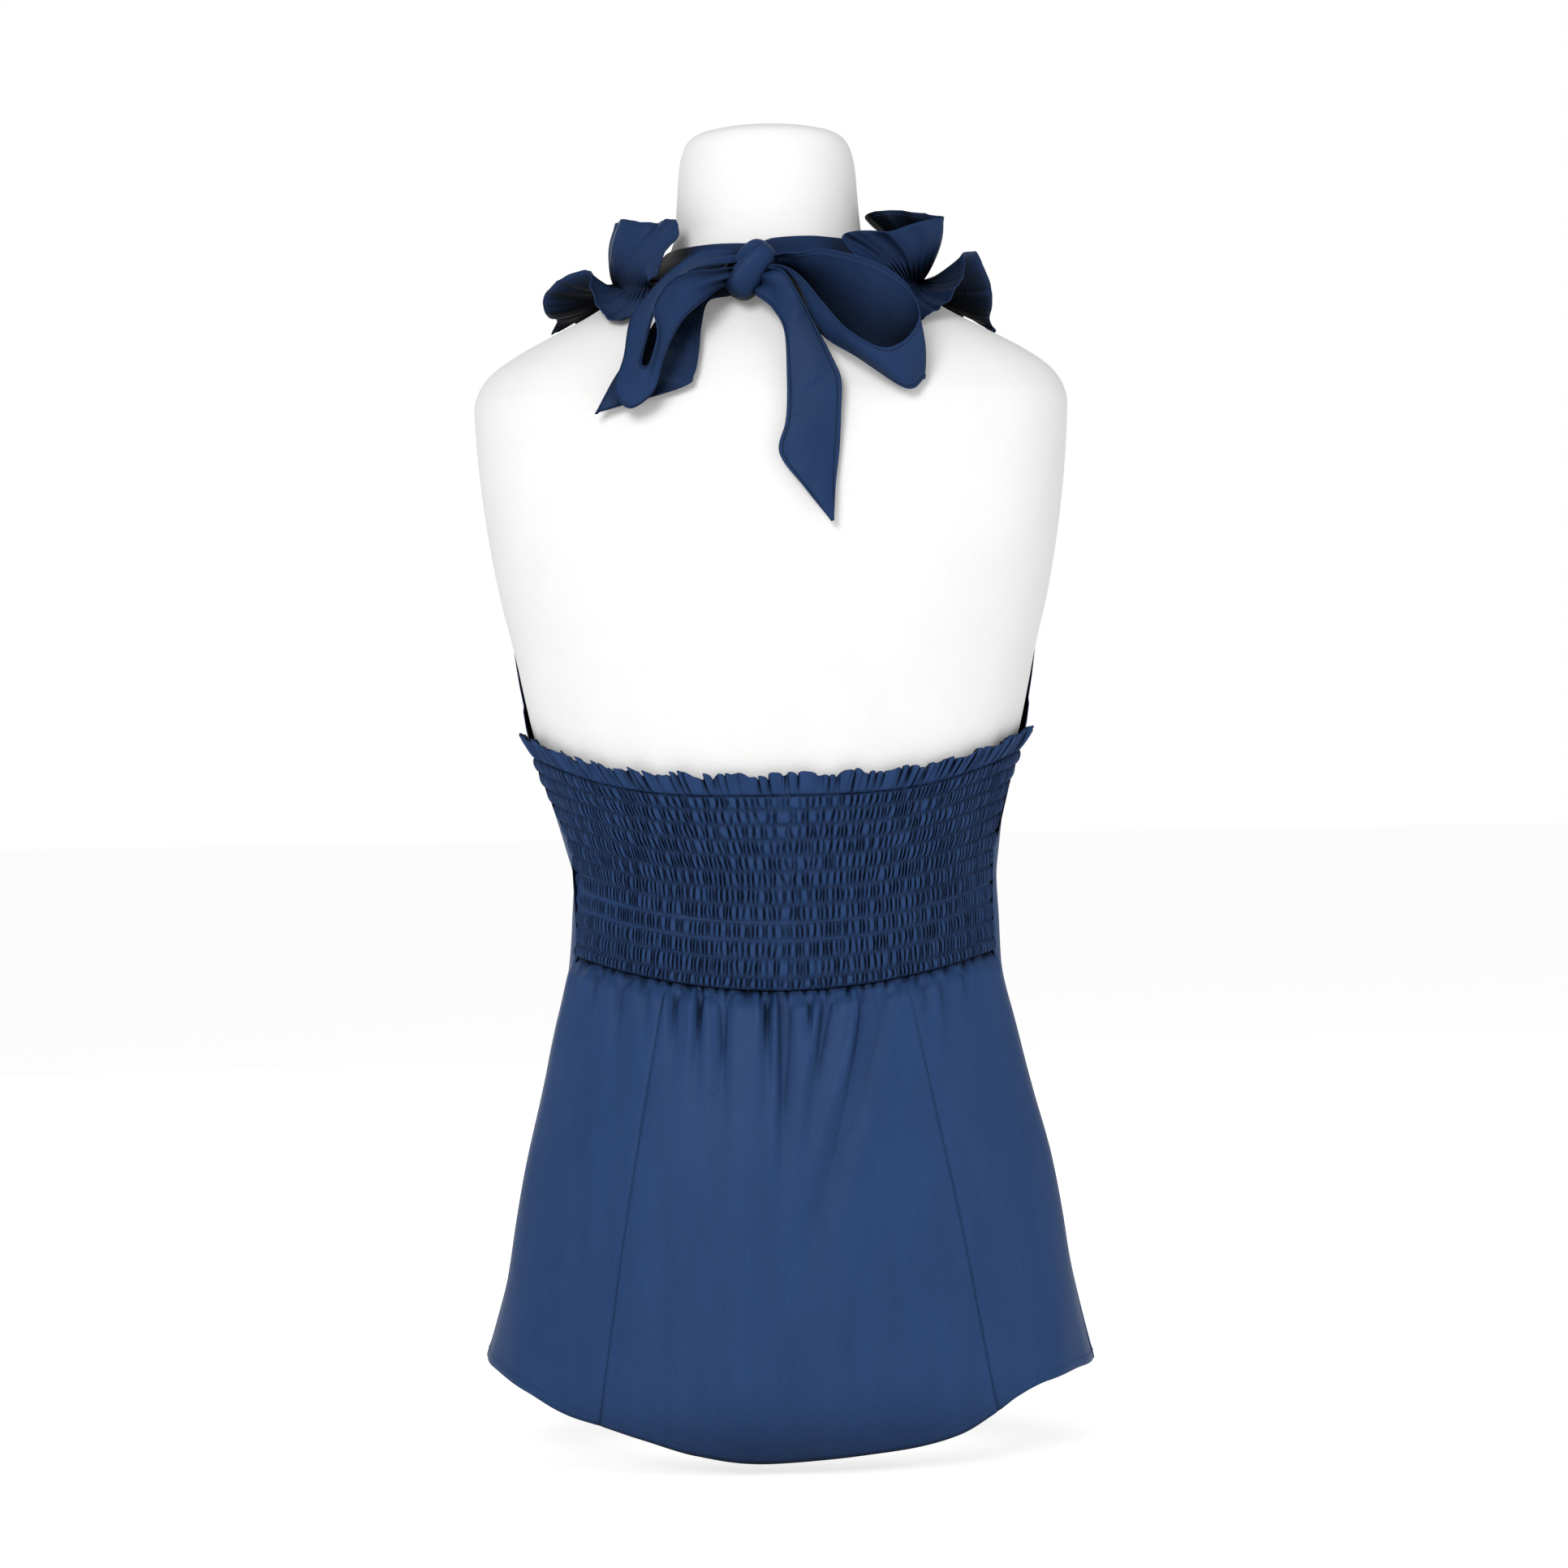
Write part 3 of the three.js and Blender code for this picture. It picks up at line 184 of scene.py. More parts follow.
# Bow ribbons. Columns: x, y, z of the near edge, then x, y, z of the far edge
BOW = {
    "bow_loop_right": [
        (-8.2, 97, 731, -8.2, 82, 720), (-19, 100, 731.2, -20, 84, 706),
        (-33.6, 103, 733, -34, 86, 690), (-60.7, 107, 725.7, -62, 89, 670),
        (-81, 108, 712.7, -84, 92, 663), (-89.9, 109, 693.7, -92.5, 96, 656),
        (-84.3, 113, 679.9, -91.2, 99, 653.8), (-73.8, 119, 672.4, -85.6, 104, 648.6),
        (-63.5, 122, 672.6, -77.2, 107, 650.8), (-46.2, 123, 683.4, -53, 109, 667.4),
        (-32.9, 119, 698.9, -32.7, 102, 681.4), (-20.6, 112, 714.9, -20.5, 92.5, 702.1),
        (-9.5, 103, 723, -9, 88, 717),
    ],
    "bow_loop_left": [
        (21, 97, 727.5, 18.6, 84, 736), (41.2, 106, 722.8, 39.3, 86, 735.8),
        (54.3, 112, 714.9, 56.1, 90, 725.7), (62.6, 116, 706.4, 69.9, 96, 712.5),
        (68.6, 118, 695.1, 83.2, 102, 694), (73.2, 118, 680.6, 87.8, 106, 670.7),
        (76.8, 119, 666.1, 93.4, 109, 650), (74.4, 122, 662.6, 84.2, 114, 638.5),
        (70.4, 124, 666.8, 69.6, 117, 648.1), (66, 125, 682.5, 62.5, 118, 669.3),
        (68, 125, 699, 52, 115, 690), (55, 120, 716, 38.7, 108, 703),
        (29.5, 106, 722, 27.9, 96, 712.5),
    ],
    "bow_tail_right": [
        (5.2, 93, 706, -8, 104, 721), (-2.7, 98, 698.2, -17.5, 105.5, 707.5),
        (-9.3, 102, 684, -25.7, 103.5, 692), (-10.3, 106, 656, -37.9, 107, 666.4),
        (-10, 108, 639, -42.5, 108.5, 653.7), (-8.8, 110, 628.1, -42, 110, 634),
        (-5.1, 112, 610, -40.5, 110, 611), (-20, 113, 589, -38, 112, 591),
        (-35.4, 113.5, 569, -36.6, 113.5, 569.6),
    ],
    "bow_tail_left": [
        (22.5, 84, 709, 26.6, 83, 719), (36.5, 88, 705, 54.9, 87, 714), (41, 93, 690, 64, 90, 700),
        (42.7, 98, 674, 72.5, 93, 687), (45.8, 103, 659.4, 84.8, 97.5, 670.7),
        (53.7, 105, 651.3, 94, 100, 657.6), (103.6, 104, 637.6, 105.4, 104, 636.4),
    ],
}
KNOT = {"start": (-1.5, 83, 738.6), "end": (25, 85, 710), "wide": 12.8, "deep": 15}

# Layers round the knot. Columns: angle, height over the bundle
KNOT_LAYERS = [
    (-180, -1.8), (-64, -1.5), (-44, -0.8), (-41, -3.4), (-38, 0.5), (0, 0.9), (60, 1.4), (106, 1.3),
    (111, 1.0), (113.5, -3.6), (116, -1.0), (138, -0.3), (158, -0.7), (161, -3.2), (164, -1.6),
    (180, -1.8),
]

# Where each ribbon goes on inside the knot, before its first and after its last section
ROOTS = {
    "bow_loop_right": ((5, 90, 728, 6, 84, 724), (4, 93, 726, 6, 88, 720)),
    "bow_loop_left": ((13, 90, 727, 11, 85, 732), (19, 96, 724, 18, 90, 717)),
    "bow_tail_right": ((13, 88, 712, 5, 90, 723), None),
    "bow_tail_left": ((15, 84, 716, 15, 84, 723), None),
}
TIE_ROOTS = {"left": (5, 739, 726, 6.5), "right": (3, 741, 726, 6)}

# Ruffles behind the shoulder. Columns: turn, z of the seam, outer edge x, y, z, inner edge x, y, z
RUFFLES = {
    "left": [
        (42, 714.5, 73, 75, 700, 68.5, 64, 723), (47, 715, 89, 73, 695.5, 62.5, 62, 738),
        (53, 715.5, 98.6, 64, 698, 54.5, 55, 750), (59, 716, 105.3, 54, 705.5, 56.5, 45, 759.5),
        (65, 716.5, 109.6, 42, 719, 66, 36, 760), (71, 717, 111.5, 30, 730.2, 76.8, 29, 760.2),
        (77, 717.5, 125.8, 16, 730.1, 91, 16, 764.4), (83, 718, 135.6, 4, 725.1, 94, 3, 761),
        (88, 719, 141.9, -7, 717.8, 91, -8, 755), (93, 720.5, 139.4, -15, 708.5, 82, -14, 757),
        (98, 722.5, 134, -24, 706, 72, -22, 761), (102, 724.5, 138, -34, 700, 66, -30, 759),
    ],
    "right": [
        (-44, 716, -74, 76, 700, -62, 67, 722), (-50, 716, -84, 76, 694, -51, 64, 735),
        (-55, 716, -92, 72, 693, -45.7, 62, 746), (-60, 716, -101.2, 66, 697.5, -57.7, 60, 749.8),
        (-65, 716.5, -107, 60, 703, -76, 59, 749.3), (-70, 717, -115, 50, 713, -95.2, 52, 756),
        (-75, 717.5, -120.6, 40, 722, -107.5, 38, 759.7),
        (-79, 718, -121.5, 27, 737.5, -97, 26, 763.5), (-83, 718.5, -130.3, 11, 740.3, -83, 16, 766.6),
        (-87, 719, -134.7, 0, 733, -65, 5, 768), (-91, 720, -139.5, -10, 723, -62, -7, 764),
        (-95, 721.5, -140.7, -17, 712, -82, -12, 757), (-99, 723, -139, -26, 704, -90, -20, 759),
        (-102.5, 725, -142, -36, 697, -78, -30, 762),
    ],
}
FRONT_RUFFLE = {
    "waves": 6, "steps": 24, "outer_reach": 46, "outer_low": 12, "taper_from": 0.62,
    "inner_reach": 26, "inner_low": 9, "centre_gap": 3, "lift": 13, "shoulder_lift": 36,
    "shoulder_share": 0.3, "swing": 8, "slide": 5, "strap_share": 0.5, "low_share": 0.92,
}
RUFFLE_BOW = 4
RUFFLE_OFF = 1.7


# Curves and small helpers
def track(rows, column, key=0):
    """Smooth curve through one column of a table, with no overshoot."""
    at = np.array([r[key] for r in rows], float)
    value = np.array([r[column] for r in rows], float)
    slope = np.diff(value) / np.diff(at)
    total = slope[:-1] + slope[1:]
    product = slope[:-1] * slope[1:]
    inner = np.where(product > 0, 2 * product / np.where(total == 0, 1, total), 0)
    tangent = np.concatenate([slope[:1], inner, slope[-1:]])

    def curve(t):
        t = np.clip(t, at[0], at[-1])
        i = np.clip(np.searchsorted(at, t) - 1, 0, len(at) - 2)
        span = at[i + 1] - at[i]
        s = (t - at[i]) / span
        step = (value[i + 1] - value[i]) * s * s * (3 - 2 * s)
        bend = s * (1 - s) * span * ((1 - s) * tangent[i] - s * tangent[i + 1])
        return value[i] + step + bend

    return curve


def spline(points):
    """Smooth curve through points, asked for by a share from 0 to 1."""
    points = np.asarray(points, float)
    padded = np.vstack([2 * points[0] - points[1], points, 2 * points[-1] - points[-2]])

    def curve(share):
        t = np.clip(np.asarray(share, float), 0, 1) * (len(points) - 1)
        i = np.clip(t.astype(int), 0, len(points) - 2)
        s = (t - i)[..., None]
        a, b, c, d = (padded[i + k] for k in range(4))
        return 0.5 * (
            2 * b + (c - a) * s + (2 * a - 5 * b + 4 * c - d) * s ** 2 + (3 * b - a - 3 * c + d) * s ** 3
        )

    return curve


def mix(a, b, t):
    return a + (b - a) * t


def smooth_step(t):
    s = np.clip(t, 0, 1)
    return s * s * (3 - 2 * s)


def soft_max(a, b, radius=4):
    near = np.maximum(radius - np.abs(a - b), 0) / radius
    return np.maximum(a, b) + near * near * radius / 4


def bump(x):
    return np.exp(-x * x)


def stack(x, y, z):
    return np.stack(np.broadcast_arrays(x, y, z), axis=-1).astype(float)


def unit(v):
    return v / np.maximum(np.linalg.norm(v, axis=-1, keepdims=True), 1e-9)


def wander(x, seed, reach=1.0):
    """Smooth uneven curve of about unit size, the same each time."""
    rng = np.random.default_rng(seed)
    total = np.zeros_like(np.asarray(x, float))
    for octave in range(4):
        total += np.sin(x * reach * (1 + 0.73 * octave) + rng.uniform(0, 2 * math.pi)) / (1 + octave)
    return total / 1.6


form_half, form_front, form_back, form_corner = (track(FORM, k) for k in range(1, 5))
hang_half, hang_front, hang_back, hang_sway = (track(HANG, k) for k in range(1, 5))
side_turn = track(SIDE_EDGE, 1)
neck_turn = track(NECK_EDGE, 1)
hem_height = track(HEM, 1)


# The form and the surface on which the cloth hangs
def depth_share(turn, z):
    return np.abs(np.cos(np.radians(turn))) ** (2 / form_corner(z))


def width_at(turn, z, half):
    s = np.sin(np.radians(turn))
    return half * np.sign(s) * np.abs(s) ** (2 / form_corner(z))


def form_depth_in_front(turn, z):
    across = (np.abs(width_at(turn, z, form_half(z))) - BUST["apart"]) / BUST["wide"]
    up = (z - BUST["z"]) / BUST["tall"]
    return depth_share(turn, z) * (form_front(z) + BUST["rise"] * bump(across) * bump(up))


def faces_back(turn):
    return np.cos(np.radians(turn)) > 0


def form_point(turn, z):
    back = form_back(z) * depth_share(turn, z)
    y = np.where(faces_back(turn), back, -form_depth_in_front(turn, z))
    return stack(width_at(turn, z, form_half(z)), y, z)


def cloth_base(turn, z):
    fall = np.maximum(0, z - HANG_TOP) * HANG_FALL
    x = width_at(turn, z, soft_max(form_half(z), hang_half(z) - fall)) + hang_sway(z)
    share = depth_share(turn, z)
    behind = soft_max(form_back(z), hang_back(z) - fall) * share
    away = np.where(np.abs(turn) > 180, 360 - np.abs(turn), np.abs(turn))
    bridged = np.where(away > BUST["turn"], form_depth_in_front(BUST["turn"], z), 0)
    resting = np.maximum(form_depth_in_front(turn, z), bridged) + BUST["clear"] * share
    ahead = -soft_max(resting, (hang_front(z) - fall) * share)
    return stack(x, np.where(faces_back(turn), behind, ahead), z)


def raised(surface, turn, z, lift):
    """Points moved out along the surface's own normal."""
    along = surface(turn + 1, z) - surface(turn - 1, z)
    up = surface(turn, z + 1.5) - surface(turn, z - 1.5)
    return surface(turn, z) + unit(np.cross(up, along)) * np.asarray(lift)[..., None]


def turn_at_x(x, z):
    off = x - hang_sway(z)
    half = cloth_base(90, z)[..., 0] - hang_sway(z)
    s = np.minimum(1, np.abs(off) / half) ** (form_corner(z) / 2)
    return np.degrees(np.sign(off) * np.arcsin(s))


def smock_bottom(turn):
    reach = np.sin(np.radians(np.abs(turn))) / math.sin(math.radians(SMOCK["bottom_turn"]))
    return SMOCK["bottom"] + SMOCK["bottom_rise"] * np.minimum(1, reach) ** SMOCK["bottom_power"]


def smock_top(turn):
    reach = np.sin(np.radians(np.abs(turn))) / math.sin(math.radians(SMOCK["top_turn"]))
    return SMOCK["top"] + SMOCK["top_rise"] * np.minimum(1, reach) ** SMOCK["top_power"]


def stitch_shares():
    """Heights of the elastic rows as shares of the smocked panel, bottom first."""
    height = SMOCK["top"] - SMOCK["bottom"]
    down = [SMOCK["heading"]]
    for k in range(SMOCK["bands"]):
        down.append(down[-1] + SMOCK["first_band"] + SMOCK["band_growth"] * k)
    return [0.0] + [(height - d) / height for d in reversed(down)]


def smock_place(across, share, lift):
    turn = across * side_turn(mix(SMOCK["corner_low"], SMOCK["corner_high"], share))
    z = mix(smock_bottom(turn), smock_top(turn), share)
    return raised(cloth_base, turn, z, EASE + lift)


def drape(turn, z):
    """Height of the cloth above its hanging surface, from its gathers and flutes."""
    x = cloth_base(turn, z)[..., 0]
    back = faces_back(turn)
    drop = np.maximum(0, smock_bottom(turn) - z)
    side = 1 - smooth_step((np.abs(turn) - 70) / 14)
    lift = PUFF * side * smooth_step(drop / PUFF_DROP) * (1 - 0.4 * smooth_step(drop / 200))
    for top_x, end_x, length, width, depth, lean in GATHERS:
        share = drop / length
        off = (x - mix(top_x, end_x, np.minimum(1, share))) / width
        off = off * (1 + lean * np.sign(off) * (1 - np.minimum(1, share)))
        fade = smooth_step(drop / 3) * (1 - smooth_step(share))
        crease = 1.15 * bump(off / 0.3) * (1 - smooth_step(share * 1.7))
        ridge = 0.5 * bump((off - 1.5) / 0.7) * (1 - smooth_step(share * 1.4))
        lift = lift - depth * side * fade * (bump(off) + crease - ridge)
    lift = np.where(back, lift, 0)
    for flute_x, start, width, height, face in FLUTES:
        near = back if face > 0 else ~back
        edge = smooth_step((np.abs(np.cos(np.radians(turn))) - 0.04) / 0.2)
        rise = smooth_step((start - z) / (start - 30))
        lift = lift + np.where(near, edge * height * rise * bump((x - flute_x) / width), 0)
    return np.maximum(0, lift)


# Meshes
def add_piece(name, points, faces, material, nodes=(), smooth=True):
    mesh = bpy.data.meshes.new(name)
    mesh.from_pydata((np.asarray(points) * MM).tolist(), [], faces)
    mesh.polygons.foreach_set("use_smooth", [smooth] * len(mesh.polygons))
    mesh.materials.append(material)
    mesh.update()
    piece = bpy.data.objects.new(name, mesh)
    bpy.context.scene.collection.objects.link(piece)
    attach(piece, BODY)
    if nodes:
        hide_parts(*nodes)
    return piece


def grid_normals(grid):
    return unit(np.cross(np.gradient(grid, axis=1), np.gradient(grid, axis=0)))


def grid_faces(index, flip=False):
    a, b, c, d = index[:-1, :-1], index[:-1, 1:], index[1:, 1:], index[1:, :-1]
    quad = (a, d, c, b) if flip else (a, b, c, d)
    return np.stack(quad, axis=-1).reshape(-1, 4).tolist()


def capped(rings, low_end, high_end):
    """Points and faces of a closed body through rings, with a point at each end."""
    rows, columns = rings.shape[:2]
    index = np.arange(rows * columns).reshape(rows, columns)
    index = np.concatenate([index, index[:, :1]], axis=1)
    low, high = rows * columns, rows * columns + 1
    faces = grid_faces(index)
    faces += [(low, int(index[0, k + 1]), int(index[0, k])) for k in range(columns)]
    faces += [(high, int(index[-1, k]), int(index[-1, k + 1])) for k in range(columns)]
    return np.vstack([rings.reshape(-1, 3), [low_end, high_end]]), faces


def ring_of(index):
    """Indices round the border of a grid."""
    return np.concatenate([index[0, :-1], index[:-1, -1], index[-1, :0:-1], index[:0:-1, 0]])


def cloth(name, grid, material, nodes, thickness=CLOTH):
    """Closed thin shell round a middle surface, with rounded edges."""
    rows, columns = grid.shape[:2]
    normal = grid_normals(grid)
    front = (grid + normal * thickness / 2).reshape(-1, 3)
    rear = (grid - normal * thickness / 2).reshape(-1, 3)
    index = np.arange(rows * columns).reshape(rows, columns)
    inward = np.clip(np.arange(rows), 1, rows - 2)
    across = np.clip(np.arange(columns), 1, columns - 2)
    outward = unit(grid - grid[np.ix_(inward, across)])
    border = ring_of(index)
    rim = grid.reshape(-1, 3)[border] + outward.reshape(-1, 3)[border] * thickness * 0.4
    count = rows * columns
    middle = 2 * count + np.arange(len(border))
    following = np.roll(np.arange(len(border)), -1)
    faces = grid_faces(index) + grid_faces(index + count, True)
    for one, two in ((border, middle), (middle, border + count)):
        faces += np.stack([one[following], one, two, two[following]], axis=-1).tolist()
    return add_piece(name, np.vstack([front, rear, rim]), faces, material, nodes)


def dipped(grid, depth=0.7, reach=1.3, sides="lr"):
    """Lets a panel's edges sink into the seam."""
    normal = grid_normals(grid)
    along = np.linalg.norm(np.diff(grid, axis=1), axis=-1).cumsum(axis=1)
    left = np.concatenate([np.zeros((len(grid), 1)), along], axis=1)
    up = np.linalg.norm(np.diff(grid, axis=0), axis=-1).cumsum(axis=0)
    low = np.concatenate([np.zeros((1, grid.shape[1])), up], axis=0)
    far = {"l": left, "r": left[:, -1:] - left, "b": low, "t": low[-1:] - low}
    sink = sum(bump(far[side] / reach) for side in sides) * depth
    return grid - normal * sink[..., None]


def at_index(grid, row, column):
    """Points between the corners of a grid, at fractional rows and columns."""
    row, column = np.broadcast_arrays(np.asarray(row, float), np.asarray(column, float))
    i = np.clip(row.astype(int), 0, grid.shape[0] - 2)
    j = np.clip(column.astype(int), 0, grid.shape[1] - 2)
    s, t = (row - i)[..., None], (column - j)[..., None]
    low = mix(grid[i, j], grid[i, j + 1], t)
    return mix(low, mix(grid[i + 1, j], grid[i + 1, j + 1], t), s)


def edge_line(grid, side, inset, count=600):
    """A line that keeps a distance from one edge of a grid, with the normals there."""
    if side in "lr":
        grid = np.swapaxes(grid, 0, 1)
    if side in "rt":
        grid = grid[::-1]
    steps = np.linalg.norm(np.diff(grid, axis=0), axis=-1).cumsum(axis=0)
    steps = np.concatenate([np.zeros((1, grid.shape[1])), steps], axis=0)
    column = np.linspace(0, grid.shape[1] - 1, count)
    row = np.array([np.interp(inset, steps[:, int(round(c))], np.arange(len(grid))) for c in column])
    normal = grid_normals(grid)
    return at_index(grid, row, column), unit(at_index(normal, row, column))


def stitch_points(line, normal, length, gap, width, lift):
    """Small raised stitches along a line, as tapered blocks."""
    along = np.linalg.norm(np.diff(line, axis=0), axis=1).cumsum()
    along = np.concatenate([[0], along])
    pitch = length + gap
    starts = np.arange(gap, along[-1] - length, pitch)

    def at(where, values):
        return np.stack([np.interp(where, along, values[:, k]) for k in range(3)], axis=-1)

    head, foot = at(starts, line), at(starts + length, line)
    up = unit(at(starts + length / 2, normal))
    side = unit(np.cross(foot - head, up)) * width / 2
    centre = (head + foot) / 2 + up * lift
    base = up * lift * 0.2
    top = centre + up * width * 0.5
    return np.stack([head + base, centre + side, foot + base, centre - side, top], axis=1)


def stitching(name, lines, material, length=1.9, gap=1.0, width=0.5, lift=0.22):
    """One mesh of all the stitches along several lines."""
    made = [stitch_points(line, normal, length, gap, width, lift) for line, normal in lines]
    corners = np.concatenate(made).reshape(-1, 3)
    count = len(corners) // 5
    fan = [(0, 1, 4), (1, 2, 4), (2, 3, 4), (3, 0, 4), (3, 2, 1, 0)]
    faces = [tuple(5 * k + i for i in face) for k in range(count) for face in fan]
    return add_piece(name, corners, faces, material, smooth=False)


# Materials
def new_material(name):
    material = bpy.data.materials.new(name)
    material.use_nodes = True
    tree = material.node_tree
    shader = next(n for n in tree.nodes if n.type == "BSDF_PRINCIPLED")
    return material, tree, shader


def node(tree, kind, **values):
    made = tree.nodes.new(kind)
    for key, value in values.items():
        if key in made.inputs:
            made.inputs[key].default_value = value
        else:
            setattr(made, key, value)
    return made


def streaks(tree, scale, stretch, detail=3.0):
    """Noise in the object's own space, drawn out along its height."""
    place = node(tree, "ShaderNodeTexCoord")
    mapping = node(tree, "ShaderNodeMapping")
    mapping.inputs["Scale"].default_value = (scale, scale, scale * stretch)
    noise = node(tree, "ShaderNodeTexNoise", Scale=1.0, Detail=detail, Roughness=0.6)
    tree.links.new(place.outputs["Object"], mapping.inputs["Vector"])
    tree.links.new(mapping.outputs["Vector"], noise.inputs["Vector"])
    return noise.outputs["Fac"]


def ramp(tree, source, low, high, start=0.3, stop=0.7):
    made = node(tree, "ShaderNodeValToRGB")
    made.color_ramp.elements[0].position = start
    made.color_ramp.elements[1].position = stop
    made.color_ramp.elements[0].color = (*low, 1)
    made.color_ramp.elements[1].color = (*high, 1)
    tree.links.new(source, made.inputs["Fac"])
    return made.outputs["Color"]


def blend_colours(tree, one, two, share, mode="MULTIPLY"):
    made = node(tree, "ShaderNodeMix", data_type="RGBA", blend_type=mode)
    made.inputs[0].default_value = share
    tree.links.new(one, made.inputs[6])
    tree.links.new(two, made.inputs[7])
    return made.outputs[2]


def paint_fold_shade(tree, colour, reach, deepest_shade, start=0.42, stop=0.94):
    """Painted shade: the cloth colour is multiplied darker by ambient occlusion where a fold closes over
    it.
    """
    occlusion = node(tree, "ShaderNodeAmbientOcclusion", samples=6, Distance=reach)
    tone = ramp(tree, occlusion.outputs["AO"], deepest_shade, (1.0,) * 3, start, stop)
    return blend_colours(tree, colour, tone, 1.0)


def sateen(name, dark, light, roughness=0.55, gloss=0.09, grain=0.25):
    """Cotton sateen: fine warp streaks, soft grain and a low sheen, with painted shade deepening the
    colour in closed folds.
    """
    material, tree, shader = new_material(name)
    tone = ramp(tree, streaks(tree, 60, 0.25), dark, light)
    warp = ramp(tree, streaks(tree, 1500, 0.05), (0.82,) * 3, (1.0,) * 3)
    fleck = ramp(tree, streaks(tree, 1900, 1.0, 1.0), (0.75,) * 3, (1.0,) * 3)
    colour = blend_colours(tree, tone, warp, 0.6)
    colour = blend_colours(tree, colour, fleck, 0.5)
    # Painted shade: ambient occlusion darkens the base colour in folds, creases and pockets
    colour = paint_fold_shade(tree, colour, PAINTED_SHADE_REACH, PAINTED_SHADE_TONE)
    tree.links.new(colour, shader.inputs["Base Color"])
    relief = node(tree, "ShaderNodeBump", Strength=grain, Distance=0.0002)
    tree.links.new(streaks(tree, 1700, 0.12, 2.0), relief.inputs["Height"])
    soft = node(tree, "ShaderNodeBump", Strength=0.35, Distance=0.0006)
    tree.links.new(streaks(tree, 90, 0.4, 2.0), soft.inputs["Height"])
    tree.links.new(soft.outputs["Normal"], relief.inputs["Normal"])
    tree.links.new(relief.outputs["Normal"], shader.inputs["Normal"])
    shader.inputs["Roughness"].default_value = roughness
    shader.inputs["Specular IOR Level"].default_value = gloss
    return material


def canvas(name, dark, light):
    """Off-white woven cover of the dress form."""
    material, tree, shader = new_material(name)
    tone = ramp(tree, streaks(tree, 25, 0.8), dark, light)
    thread = ramp(tree, streaks(tree, 1300, 1.0, 2.0), (0.94,) * 3, (1.0,) * 3)
    tree.links.new(blend_colours(tree, tone, thread, 0.8), shader.inputs["Base Color"])
    relief = node(tree, "ShaderNodeBump", Strength=0.3, Distance=0.0004)
    tree.links.new(streaks(tree, 1100, 1.0, 2.0), relief.inputs["Height"])
    tree.links.new(relief.outputs["Normal"], shader.inputs["Normal"])
    shader.inputs["Roughness"].default_value = 0.9
    shader.inputs["Specular IOR Level"].default_value = 0.15
    return material


def plain(name, colour, roughness, gloss=0.3):
    """Sewing thread or floor: a nearly even colour with faint grain."""
    material, tree, shader = new_material(name)
    low = tuple(c * 0.88 for c in colour)
    tree.links.new(ramp(tree, streaks(tree, 900, 1.0), low, colour), shader.inputs["Base Color"])
    shader.inputs["Roughness"].default_value = roughness
    shader.inputs["Specular IOR Level"].default_value = gloss
    return material


NAVY = sateen("navy_sateen", (0.0185, 0.050, 0.142), (0.0215, 0.057, 0.160), 0.52, 0.08)
NAVY_SMOCK = sateen("navy_smocked", (0.0155, 0.042, 0.122), (0.0195, 0.052, 0.148))
NAVY_RIBBON = sateen("navy_ribbon", (0.0125, 0.032, 0.092), (0.0148, 0.038, 0.106), 0.5, 0.06)
THREAD = plain("navy_thread", (0.016, 0.035, 0.10), 0.6)
THREAD_PALE = plain("pale_blue_thread", (0.05, 0.10, 0.27), 0.5)
CANVAS = canvas("form_canvas", (0.735, 0.735, 0.73), (0.76, 0.76, 0.755))


# Camera, light and floor
def studio():
    scene = bpy.context.scene
    scene.view_settings.view_transform = "Standard"
    camera = bpy.data.cameras.new("camera")
    camera.sensor_width = SENSOR
    camera.lens = SENSOR * EYE.y / VIEW_WIDTH
    camera.clip_end = 50
    eye = bpy.data.objects.new("camera", camera)
    eye.rotation_mode = "QUATERNION"
    eye.location = EYE
    level = Vector((0, -1, 0)).to_track_quat("-Z", "Y")
    eye.rotation_quaternion = level @ Quaternion((0, 0, 1), ROLL)
    scene.collection.objects.link(eye)
    scene.camera = eye

    world = bpy.data.worlds.new("studio")
    world.use_nodes = True
    tree = world.node_tree
    soft = next(n for n in tree.nodes if n.type == "BACKGROUND")
    soft.inputs["Color"].default_value = (1, 1, 1, 1)
    soft.inputs["Strength"].default_value = AMBIENT
    backdrop = node(tree, "ShaderNodeBackground", Strength=1.0)
    backdrop.inputs["Color"].default_value = (1, 1, 1, 1)
    ray = node(tree, "ShaderNodeLightPath")
    either = node(tree, "ShaderNodeMixShader")
    tree.links.new(ray.outputs["Is Camera Ray"], either.inputs[0])
    tree.links.new(soft.outputs[0], either.inputs[1])
    tree.links.new(backdrop.outputs[0], either.inputs[2])
    tree.links.new(either.outputs[0], next(n for n in tree.nodes if n.type == "OUTPUT_WORLD").inputs[0])
    scene.world = world

    # Columns: name, place, height it is aimed at, size, power, how wide it opens
    for name, place, height, size, power, opening in (
        ("key", (0.7, 2.3, 1.5), 0.68, 1.0, 5.1, 58),
        ("fill", (-2.6, 1.6, 1.2), 0.6, 2.0, 17, 180),
        ("front", (0.8, -3.2, 1.4), 0.42, 2.2, 34, 180),
    ):
        light = bpy.data.lights.new(name, "AREA")
        light.size = size
        light.energy = power
        light.spread = math.radians(opening)
        lamp = bpy.data.objects.new(name, light)
        lamp.location = place
        aim = Vector((0, 0, height)) - lamp.location
        lamp.rotation_mode = "QUATERNION"
        lamp.rotation_quaternion = aim.to_track_quat("-Z", "Y")
        scene.collection.objects.link(lamp)


